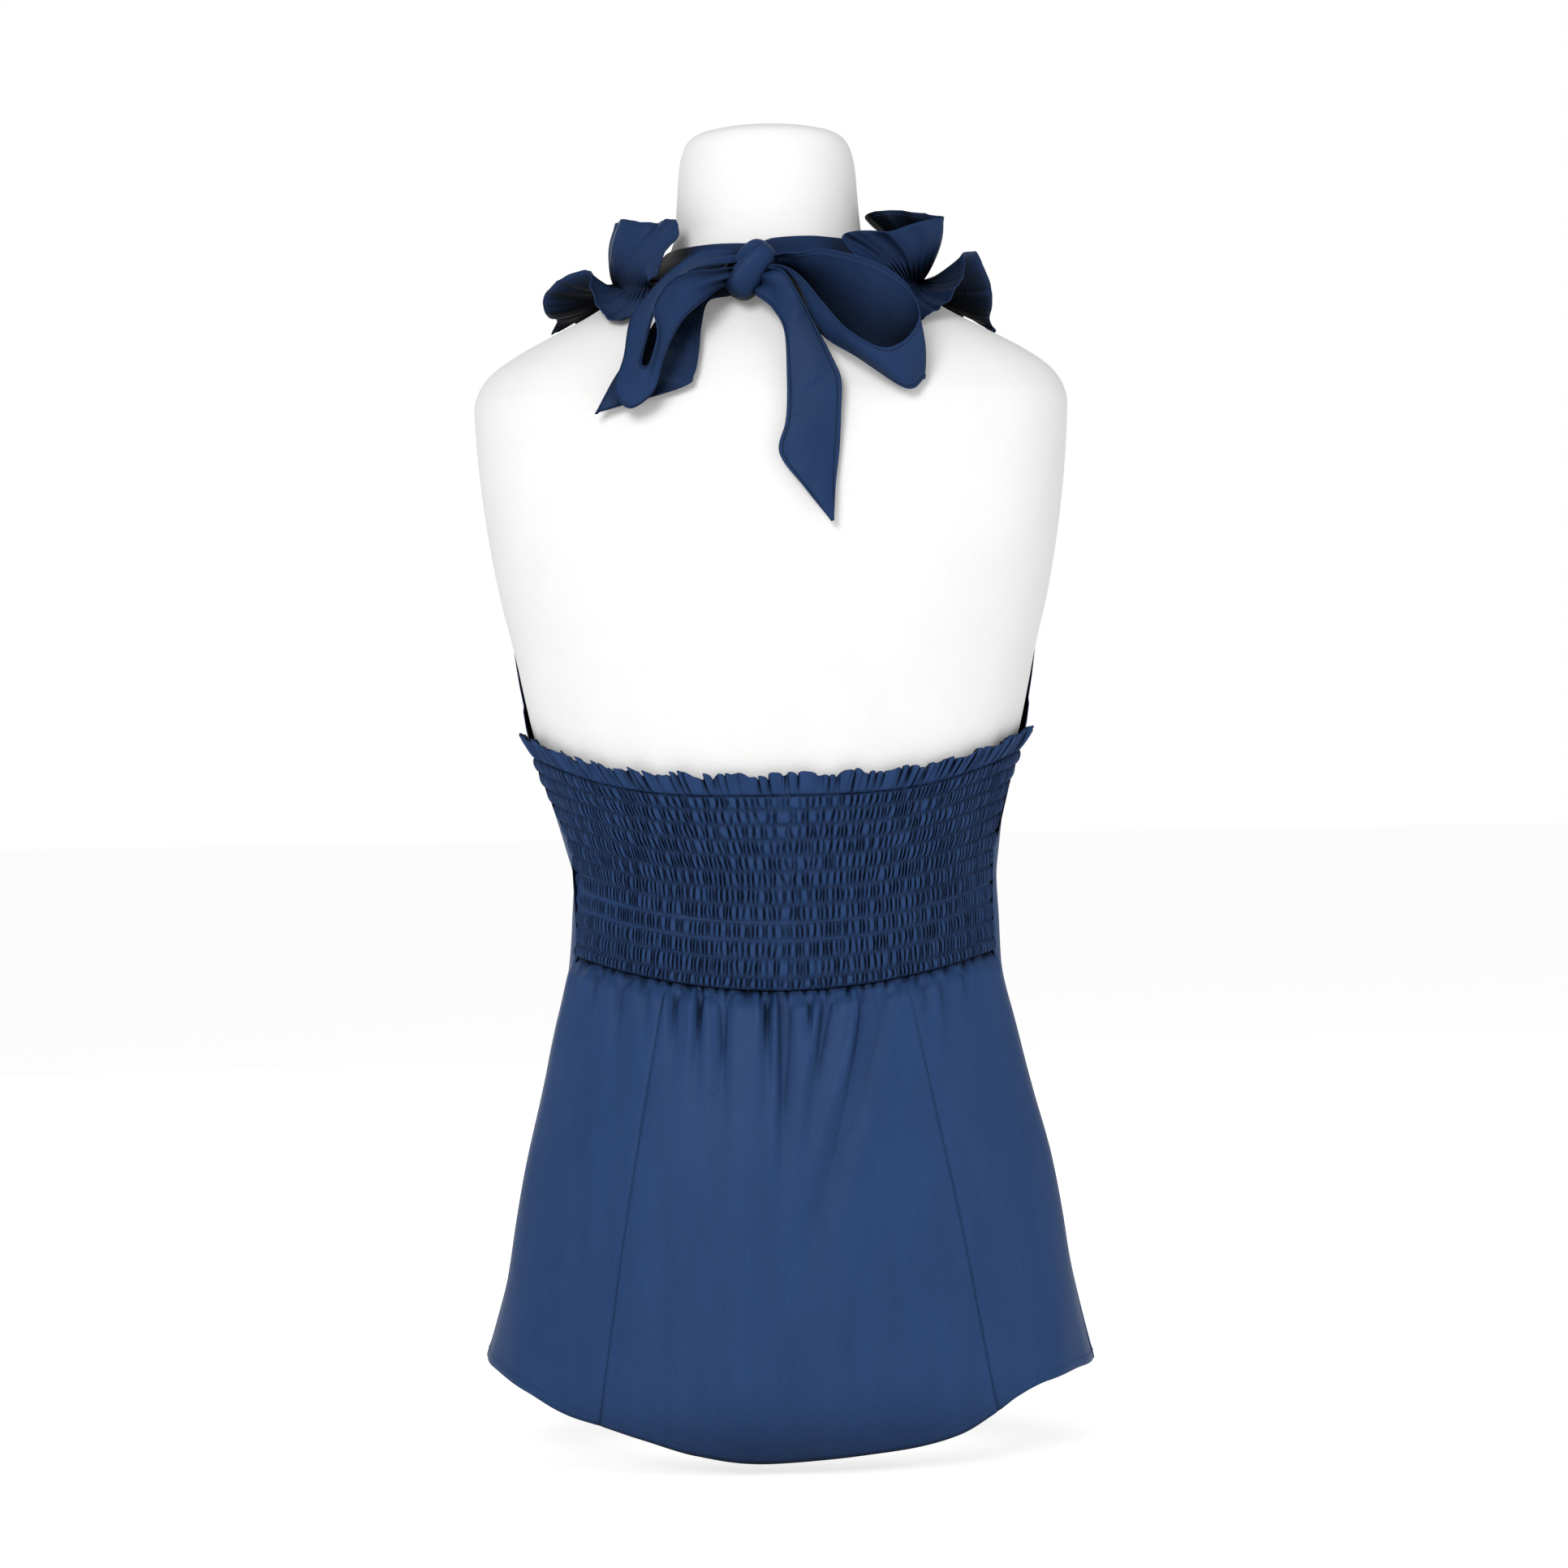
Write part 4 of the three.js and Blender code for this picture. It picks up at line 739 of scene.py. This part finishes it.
def floor():
    mesh = bpy.data.meshes.new("floor")
    corners = [(x * FLOOR_SPAN, y * FLOOR_SPAN, 0) for x, y in ((-1, -1), (1, -1), (1, 1), (-1, 1))]
    mesh.from_pydata(corners, [], [(0, 1, 2, 3)])
    pale = plain("pale_floor", FLOOR_TONE, 0.9, 0.0)
    surface = next(n for n in pale.node_tree.nodes if n.type == "BSDF_PRINCIPLED")
    surface.inputs["Emission Color"].default_value = (1, 1, 1, 1)
    surface.inputs["Emission Strength"].default_value = FLOOR_GLOW
    mesh.materials.append(pale)
    piece = bpy.data.objects.new("floor", mesh)
    bpy.context.scene.collection.objects.link(piece)


# The dress form
def dress_form():
    turns = -np.arange(FORM_COLUMNS) * 360 / FORM_COLUMNS
    heights = np.concatenate([np.linspace(low, high, count) for low, high, count in FORM_LEVELS])
    points, faces = capped(form_point(turns[None, :], heights[:, None]), (0, 0, 0), (0, 0, FORM_CROWN))
    add_piece("form_body", points, faces, CANVAS, ("dress_form",))


# Smocked back panel
def pucker_field(place, share, seed):
    """Puckers of one band: uneven narrow valleys between rounded tops, 0 to 1 high."""
    rng = np.random.default_rng(seed)
    gaps = rng.uniform(0.45, 1.55, 2 * PUCKERS)
    valleys = np.cumsum(gaps) - 2
    lean = rng.normal(0, 0.22, len(valleys))
    curl = rng.normal(0, 0.16, len(valleys))
    tilt = rng.normal(0, 0.22, len(valleys))
    depth = rng.uniform(0.55, 1.0, len(valleys))
    valleys_here = valleys + lean * (share - 0.5) + curl * np.sin(math.pi * share)
    k = np.clip(np.searchsorted(valleys, place), 1, len(valleys) - 1)
    from_left = place - valleys_here[k - 1]
    to_right = valleys_here[k] - place
    fall = depth[k - 1] * bump(from_left / VALLEY_SHARE) + depth[k] * bump(to_right / VALLEY_SHARE)
    slope = tilt[k] * (from_left - to_right) * 0.5
    crown = 0.14 * np.sin(math.pi * np.clip(from_left / (from_left + to_right + 1e-6), 0, 1))
    return np.clip(1 - fall + slope + crown - 0.14, 0, 1.3)


def smocked_bands():
    shares = stitch_shares()
    across = np.linspace(1, -1, SMOCK_COLUMNS)
    place = np.linspace(0, PUCKERS, SMOCK_COLUMNS)
    rows, threads = [], []
    for band in range(len(shares) - 1):
        for step in range(BAND_ROWS + (band == len(shares) - 2)):
            inside = step / BAND_ROWS
            rise = max(math.sin(math.pi * inside), 0) ** 0.45
            field = pucker_field(place, inside, 100 + band)
            ripple = 0.22 * np.sin(place * 2 * math.pi * 2.1 + wander(place, band, 0.9))
            lift = 0.35 + rise * PUCKER_HEIGHT * field + (1 - rise) * ripple
            share = mix(shares[band], shares[band + 1], inside)
            wave = 0.0022 * wander(across * 20, 40 + band) * (0 < inside < 1)
            rows.append(smock_place(across, share + wave, WALL * 0.7 + lift))
    outer = np.array(rows)
    count = len(outer)
    under_shares = (0, shares[-1] / 2, shares[-1])
    inner = np.array([smock_place(across, share, SMOCK_INSIDE + 0 * across) for share in under_shares])
    index = np.arange(count * SMOCK_COLUMNS).reshape(count, SMOCK_COLUMNS)
    under = count * SMOCK_COLUMNS + np.arange(3 * SMOCK_COLUMNS).reshape(3, SMOCK_COLUMNS)
    faces = grid_faces(index) + grid_faces(under, True)
    faces += grid_faces(np.stack([under[0], index[0]]))
    faces += grid_faces(np.stack([index[-1], under[-1]]))
    for column, flip in ((0, False), (-1, True)):
        half = count // 2
        edge, back = index[:, column], under[:, column]
        fans = [(edge[i + 1], edge[i], back[0 if i < half else 2]) for i in range(count - 1)]
        fans += [(back[0], back[1], edge[half]), (back[1], back[2], edge[half])]
        faces += [tuple(int(i) for i in (fan[::-1] if flip else fan)) for fan in fans]
    points = np.vstack([outer.reshape(-1, 3), inner.reshape(-1, 3)])
    bands = add_piece("smocked_bands", points, faces, NAVY_SMOCK, ("back_smocked",))
    normal = grid_normals(outer)
    for band in range(1, len(shares)):
        row = min(band * BAND_ROWS, count - 1)
        threads.append((outer[row] + normal[row] * 0.1, normal[row]))
    thread = stitching("smocking_thread", threads, THREAD_PALE, 0.9, 0.5, 0.42, 0.32)
    return bands, thread


def smocked_heading():
    """Frill above the top elastic row, folded to and fro."""
    low = stitch_shares()[-1]
    columns, rows = 1300, 8
    u = np.linspace(0, 1, columns)[None, :]
    v = np.linspace(0, 1, rows)[:, None]
    place = u * HEADING_FOLDS + 0.45 * wander(u * HEADING_FOLDS, 7, 1.7)
    size = np.clip(0.8 + 0.5 * wander(u * HEADING_FOLDS, 9, 1.1), 0.25, 1.5)
    phase = 2 * math.pi * place
    wavy = np.cos(phase) + 0.35 * np.cos(2 * phase + 1.3) + 0.15 * np.cos(5 * phase)
    depth = mix(0.35, 1.9, v ** 0.8) * size
    across = 1 - 2 * u - 0.0052 * size * v * np.sin(phase + 0.5 * np.sin(phase))
    lift = mix(0.9, WALL + 0.3, v ** 0.5) + depth * (1.1 + wavy)
    share = mix(low, 1.0, v) + 0.015 * v ** 2 * (np.cos(phase + 0.5) * size + 0.9 * wander(u * 90, 5))
    grid = smock_place(np.clip(across, -1, 1), share, lift)
    return cloth("smocked_heading", grid, NAVY_SMOCK, ("back_smocked",), 0.6)


# Back skirt
def hem_relief(turn, z):
    """Step where the hem is turned up."""
    return HEM_STEP * (1 - smooth_step((z - hem_height(turn) - HEM_TURN) / HEM_EDGE))


def skirt_grid(left, right, columns, rows):
    """Middle surface of a skirt panel between two seams, each a turn at a share of its height."""
    v = (1 - (1 - np.linspace(0, 1, rows)) ** 1.3)[:, None]
    u = np.linspace(0, 1, columns)[None, :]
    turn = mix(left(v), right(v), u)
    z = mix(hem_height(turn), smock_bottom(turn), v)
    x = cloth_base(turn, z)[..., 0]
    drop = smock_bottom(turn) - z
    comb = 0.75 * wander(x, 21, 0.62) * smooth_step(drop / 3) * (1 - smooth_step(drop / 24))
    comb = comb - 1.7 * np.abs(np.sin(0.36 * x + wander(x, 27, 0.2))) ** 9 * (1 - smooth_step(drop / 13))
    sway = 0.5 * wander(x * 0.06 + z * 0.004, 23) * smooth_step(drop / 60)
    tuck = -1.3 * (1 - smooth_step(drop / 5))
    return raised(cloth_base, turn, z, OUTSIDE + drape(turn, z) + comb + sway + tuck + hem_relief(turn, z))


def skirt_seam(seam):
    def turn(share):
        x = mix(seam[1], seam[0], share) + 1.6 * np.sin(math.pi * share) * np.sign(seam[0])
        return turn_at_x(x, mix(SKIRT_FOOT, SMOCK["bottom"], share))

    return turn


def side_height(sign, share):
    return mix(hem_height(sign * side_turn(0.0)), SMOCK["corner_low"], share)


def side_seam(sign):
    return lambda share: sign * side_turn(side_height(sign, share))


def back_skirts():
    left, right = (skirt_seam(seam) for seam in SKIRT_SEAMS)
    plan = [
        ("back_side_left", side_seam(1), left, 66, 116, 0.16, 0.29),
        ("back_centre", left, right, 210, 140, 0.33, 0.31),
        ("back_side_right", right, side_seam(-1), 66, 116, 0.16, 0.29),
    ]
    made, lines = {}, []
    for name, one, two, columns, rows, wide, long in plan:
        grid = dipped(skirt_grid(one, two, columns, rows))
        piece = cloth(name + "_cloth", grid, NAVY, (name,))
        lines.append(edge_line(grid, "b", HEM_STITCH))
        made[name] = (piece, wide, long)
    return made, lines


# Fronts
def front_grid(sign, columns=70):
    """Middle surface of a front, from the hem up to the strap end at the neck."""
    gap = math.degrees(CENTRE_GAP / FRONT_DEPTH)
    u = np.linspace(0, 1, columns)[None, :]
    share = np.linspace(0, 1, 56)[:-1, None]
    low_turn = mix(side_turn(side_height(sign, share)), 180 - gap, u)
    low_z = mix(hem_height(sign * low_turn), mix(SMOCK["corner_low"], FRONT_ROWS[0][1], u), share)
    rows = [(i, side, middle) for i, (side, middle) in enumerate(FRONT_ROWS)]
    step = np.linspace(0, len(rows) - 1, 112)[:, None]
    side, middle = track(rows, 1)(step), track(rows, 2)(step)
    side = np.where(step < 1, mix(SMOCK["corner_low"], FRONT_ROWS[1][0], step), side)
    centre = np.where(middle <= NECK_EDGE[0][0], 180, neck_turn(middle))
    high_turn = mix(side_turn(side), np.minimum(centre, 180 - gap), u)
    high_z = mix(side, middle, u)
    turn = sign * np.vstack([low_turn, high_turn])
    z = np.vstack([low_z, high_z])
    point = cloth_base(turn, z)
    x = np.abs(point[..., 0])
    lift = OUTSIDE + drape(turn, z) + hem_relief(turn, z) + front_folds(x, z, sign)
    grid = raised(cloth_base, turn, z, lift)
    return grid if sign < 0 else grid[:, ::-1]


# Soft folds of a front. Columns: x and z at the top, x and z at the foot, width, depth
FRONT_FOLDS = [
    (62, 425, 44, 330, 7, 1.2), (84, 425, 78, 320, 8, 1.4), (104, 420, 116, 330, 7, 1.1),
    (40, 560, 66, 515, 6, 0.9), (58, 590, 92, 530, 7, 1.0), (96, 610, 118, 548, 7, 0.9),
    (112, 470, 138, 452, 5, 1.0), (30, 470, 22, 390, 6, 0.8),
]


def front_folds(x, z, sign):
    lift = 0.4 * wander(x * 0.05 + z * 0.012, 31 if sign > 0 else 37)
    for top_x, top_z, foot_x, foot_z, width, depth in FRONT_FOLDS:
        share = (top_z - z) / (top_z - foot_z)
        off = (x - mix(top_x, foot_x, share) - 2 * sign * np.sin(3 * share)) / width
        inside = smooth_step(share * 4) * smooth_step((1 - share) * 3)
        lift = lift + depth * inside * bump(off) - 0.8 * depth * inside * bump(off - 1.6)
    return lift


def fronts():
    made, lines = {}, []
    for name, sign in (("front_left", 1), ("front_right", -1)):
        grid = dipped(front_grid(sign), 0.4)
        made[name] = cloth(name + "_cloth", grid, NAVY, (name,))
        side, centre = ("r", "l") if sign > 0 else ("l", "r")
        lines.append(edge_line(grid, "b", HEM_STITCH))
        lines.append(part_of(edge_line(grid, side, EDGE_STITCH), 0.62, 1))
        lines.append(part_of(edge_line(grid, centre, EDGE_STITCH), 0.7, 1))
    return made, lines


def part_of(line, start, stop):
    count = len(line[0])
    return tuple(values[int(start * count):int(stop * count)] for values in line)


# Neck ties, bow and knot
def tie_grid(rows, columns=170, across=24):
    curve = spline(rows if rows[0][0] > 0 else rows[::-1])
    turn, top, low, off = (curve(np.linspace(0, 1, columns))[:, k][None, :] for k in range(4))
    v = np.linspace(0, 1, across)[:, None]
    z = mix(low, top, v)
    fold = 0.7 * np.sin(math.pi * 2.2 * v + 1) * smooth_step((40 - np.abs(turn)) / 30)
    lift = EASE + WALL - RIBBON / 2 + off * (1 - 0.3 * v) + fold + 0.5 * np.sin(math.pi * v)
    return raised(form_point, turn, z, lift)


def ribbon_grid(rows, columns, across, pinch, belly):
    """Ribbon between its two edges, gathered where it enters the knot."""
    near, far = spline([row[:3] for row in rows]), spline([row[3:] for row in rows])
    t = np.linspace(0, 1, columns)
    w = (0.5 - 0.5 * np.cos(math.pi * np.linspace(0, 1, across)))[:, None]
    grid = mix(near(t)[None], far(t)[None], w[..., None])
    normal = grid_normals(grid)
    start, stop = pinch
    tight = 0 * t
    if start:
        tight = tight + 1 - smooth_step(t / start)
    if stop:
        tight = tight + 1 - smooth_step((1 - t) / stop)
    fold = 1.7 * tight * np.sin(2 * math.pi * 1.7 * w + 6 * t)
    round_off = belly * np.sin(math.pi * w) * (1 - np.minimum(1, tight))
    crinkle = 0.5 * wander(t * 30 + 1.5 * w, 51) * np.sin(math.pi * w)
    hem = 0.35 * (smooth_step((0.058 - w) / 0.012) + smooth_step((w - 0.942) / 0.012))
    groove = -0.4 * (bump((w - 0.062) / 0.008) + bump((w - 0.938) / 0.008))
    return grid + normal * (fold + round_off + crinkle + hem + groove)[..., None]


def bow():
    pieces, lines = {}, []
    plan = {
        "bow_loop_right": (170, 38, (0.2, 0.18), 1.8),
        "bow_loop_left": (170, 38, (0.2, 0.2), 1.6),
        "bow_tail_right": (130, 38, (0.22, 0), 1.2),
        "bow_tail_left": (130, 38, (0.24, 0), 1.0),
    }
    for name, (columns, across, pinch, belly) in plan.items():
        first, last = ROOTS[name]
        rows = [first, *BOW[name]] + ([last] if last else [])
        grid = ribbon_grid(rows, columns, across, pinch, belly)
        pieces[name] = cloth(name + "_ribbon", grid, NAVY_RIBBON, (name,), RIBBON)
        for side in "bt":
            line, normal = part_of(edge_line(grid, side, RIBBON_STITCH), 0.08, 0.95)
            lines.append((line + normal * RIBBON / 2, normal))
            lines.append((line - normal * RIBBON / 2, -normal))
    return pieces, lines


def knot():
    """Ribbon wound round the bow: a slanting bundle with overlapping edges."""
    start, end = np.array(KNOT["start"], float), np.array(KNOT["end"], float)
    axis = unit(end - start)
    deep = np.array([0.0, 1.0, 0.0])
    wide = unit(np.cross(deep, axis))
    rings, points = 64, 300
    t = 0.5 - 0.49 * np.cos(math.pi * np.linspace(0, 1, rings))[:, None]
    angle = np.linspace(-math.pi, math.pi, points, endpoint=False)[None, :]
    swell = (1 - np.abs(2 * t - 1) ** 5) ** 0.5
    turned = np.degrees(angle) - 16 * (t - 0.5) - 7 * np.sin(math.pi * t)
    turned = (turned + 180) % 360 - 180
    layers = np.array(KNOT_LAYERS)
    height = np.interp(turned, layers[:, 0], layers[:, 1])
    height = height + 0.22 * np.cos(np.radians(turned) * 7 + t * 3) + 0.5 * bump((turned - 20) / 16)
    ring = (
        start + axis * np.linalg.norm(end - start) * t[..., None]
        + wide * ((KNOT["wide"] + height) * swell * np.cos(angle))[..., None]
        + deep * ((KNOT["deep"] + height) * swell * np.sin(angle))[..., None]
    )
    body, faces = capped(ring, ring[0].mean(axis=0), ring[-1].mean(axis=0))
    add_piece("bow_knot_wrap", body, faces, NAVY_RIBBON, ("bow_knot",))
    seam = np.radians(101 + 16 * (t[:, 0] - 0.5) + 7 * np.sin(math.pi * t[:, 0]))
    column = np.round((seam + math.pi) / (2 * math.pi) * points).astype(int)
    line = ring[np.arange(rings), column][5:-5]
    return [(line, unit(line - (start + end) / 2))]


# Ruffles
def ruffle_rows(side):
    """Seam, outer edge and inner edge of a ruffle, from behind the shoulder to the bottom of the V."""
    sign = 1 if side == "left" else -1
    on_cloth = EASE + WALL + RUFFLE_OFF
    rear = np.array(RUFFLES[side], float)
    seam = list(raised(form_point, rear[:, 0], rear[:, 1], on_cloth))
    outer, inner = list(rear[:, 2:5]), list(rear[:, 5:8])
    rows = [(i, a, b) for i, (a, b) in enumerate(FRONT_ROWS[1:])]
    strap = next(i for i, a, b in rows if b > NECK_EDGE[0][0])
    side_at, middle_at = track(rows, 1), track(rows, 2)
    r = FRONT_RUFFLE

    def seam_at(t, lift):
        index = mix(len(rows) - 2, strap, t)
        share = mix(r["strap_share"], r["low_share"], smooth_step(t * 3))
        a, b = side_at(index), middle_at(index)
        centre = 180 if b <= NECK_EDGE[0][0] else neck_turn(b)
        turn = sign * mix(side_turn(a), centre, share)
        z = mix(a, b, share)
        return raised(cloth_base, turn, z, EASE + drape(turn, z) + lift + WALL + RUFFLE_OFF)

    for t in np.linspace(0, 1, r["steps"] + 1):
        place = seam_at(t, 0.0)
        normal = unit(seam_at(t, 1.0) - place)
        along = unit(seam_at(t + 0.01, 0.0) - place)
        out = unit(np.cross(normal, along) * sign)
        phase = 2 * math.pi * r["waves"] * t
        taper = smooth_step((t - r["taper_from"]) / (1 - r["taper_from"]))
        outer_reach = mix(r["outer_reach"], r["outer_low"], taper)
        full = outer_reach / r["outer_reach"]
        rise = (r["lift"] + r["swing"] * math.sin(phase)) * full
        down = smooth_step(t / r["shoulder_share"])
        stand = mix(r["shoulder_lift"], r["lift"], down)
        inner_rise = (stand + r["swing"] * math.sin(phase + 2.4)) * full
        slide = r["slide"] * math.cos(phase)
        wanted = mix(r["inner_reach"] * (0.5 + 0.5 * down), r["inner_low"], t)
        reach = min(wanted, abs(place[0]) - r["centre_gap"])
        seam.append(place)
        outer.append(place + out * outer_reach + normal * rise + along * slide)
        inner.append(place - out * reach + normal * inner_rise - along * slide)
    return np.array(seam), np.array(outer), np.array(inner)


def ruffle_grid(side, columns=720, across=28):
    """Middle surface of a ruffle: cupped behind the shoulder, in even waves down the front."""
    seam, outer, inner = (spline(points) for points in ruffle_rows(side))
    t = np.linspace(0, 1, columns)
    w = np.linspace(-1, 1, across)
    if side == "right":
        w = w[::-1]
    w = w[:, None]
    reach = np.abs(w)
    line = seam(t)
    edge = np.where(w[..., None] > 0, outer(t)[None], inner(t)[None])
    grid = mix(line[None], edge, reach[..., None])
    rear_end = (len(RUFFLES[side]) - 1) / (len(RUFFLES[side]) + FRONT_RUFFLE["steps"])
    rear = 1 - smooth_step((t - rear_end + 0.03) / 0.06)
    radial = unit(line * np.array([1.0, 1.0, 0.0]))
    upward = np.array([0.0, 0.0, 1.0])
    arch = 4 * reach * (1 - reach)
    stand = (5.5 * arch * (w < 0) * rear)[..., None] * radial
    sag = (-3.2 * arch * (w > 0) * rear)[..., None] * unit(radial * 0.5 + upward)
    bow_up = (RUFFLE_BOW * arch * (1 - rear) - 0.8 * bump(reach / 0.10))[..., None] * upward
    grid = grid + stand + sag + bow_up
    normal = grid_normals(grid)
    gather = np.cos(t * 560 + 1.6 * wander(t * 60, 61))[None, :]
    pleat = gather * (1.1 * bump((reach - 0.12) / 0.2))
    wave = (1.3 * wander(t * 95, 65) + 0.5 * wander(t * 210, 66))[None, :] * reach ** 1.5
    roll = 0.9 * bump((1 - reach) / 0.05)
    return grid + normal * (pleat + wave + roll)[..., None]


def ruffles():
    pieces, lines = {}, []
    for side in ("left", "right"):
        grid = ruffle_grid(side)
        name = "ruffle_" + side
        pieces[name] = cloth(name + "_frill", grid, NAVY_RIBBON, (name,), CLOTH)
        for edge in "bt":
            line, normal = edge_line(grid, edge, 3.0, 900)
            lines.append((line + normal * CLOTH / 2, normal))
    return pieces, lines


studio()
floor()
dress_form()

bands, thread = smocked_bands()
heading = smocked_heading()

skirts, skirt_lines = back_skirts()

front_pieces, front_lines = fronts()
stitching("garment_stitching", skirt_lines + front_lines, THREAD, 2.0, 0.9, 0.5, 0.5)

tie_lines = []
for side, table in TIES.items():
    band = tie_grid([*table, TIE_ROOTS[side]])
    tie = cloth(f"neck_tie_{side}_ribbon", band, NAVY_RIBBON, (f"neck_tie_{side}",), RIBBON)
    for edge in "bt":
        tie_lines.append(edge_line(band, edge, RIBBON_STITCH))

bow_pieces, bow_lines = bow()
knot_lines = knot()
stitching("ribbon_stitching", tie_lines + bow_lines + knot_lines, THREAD, 1.5, 0.9, 0.4, 0.45)

ruffle_pieces, ruffle_lines = ruffles()
stitching("ruffle_stitching", ruffle_lines, THREAD, 1.8, 1.0, 0.4, 0.2)
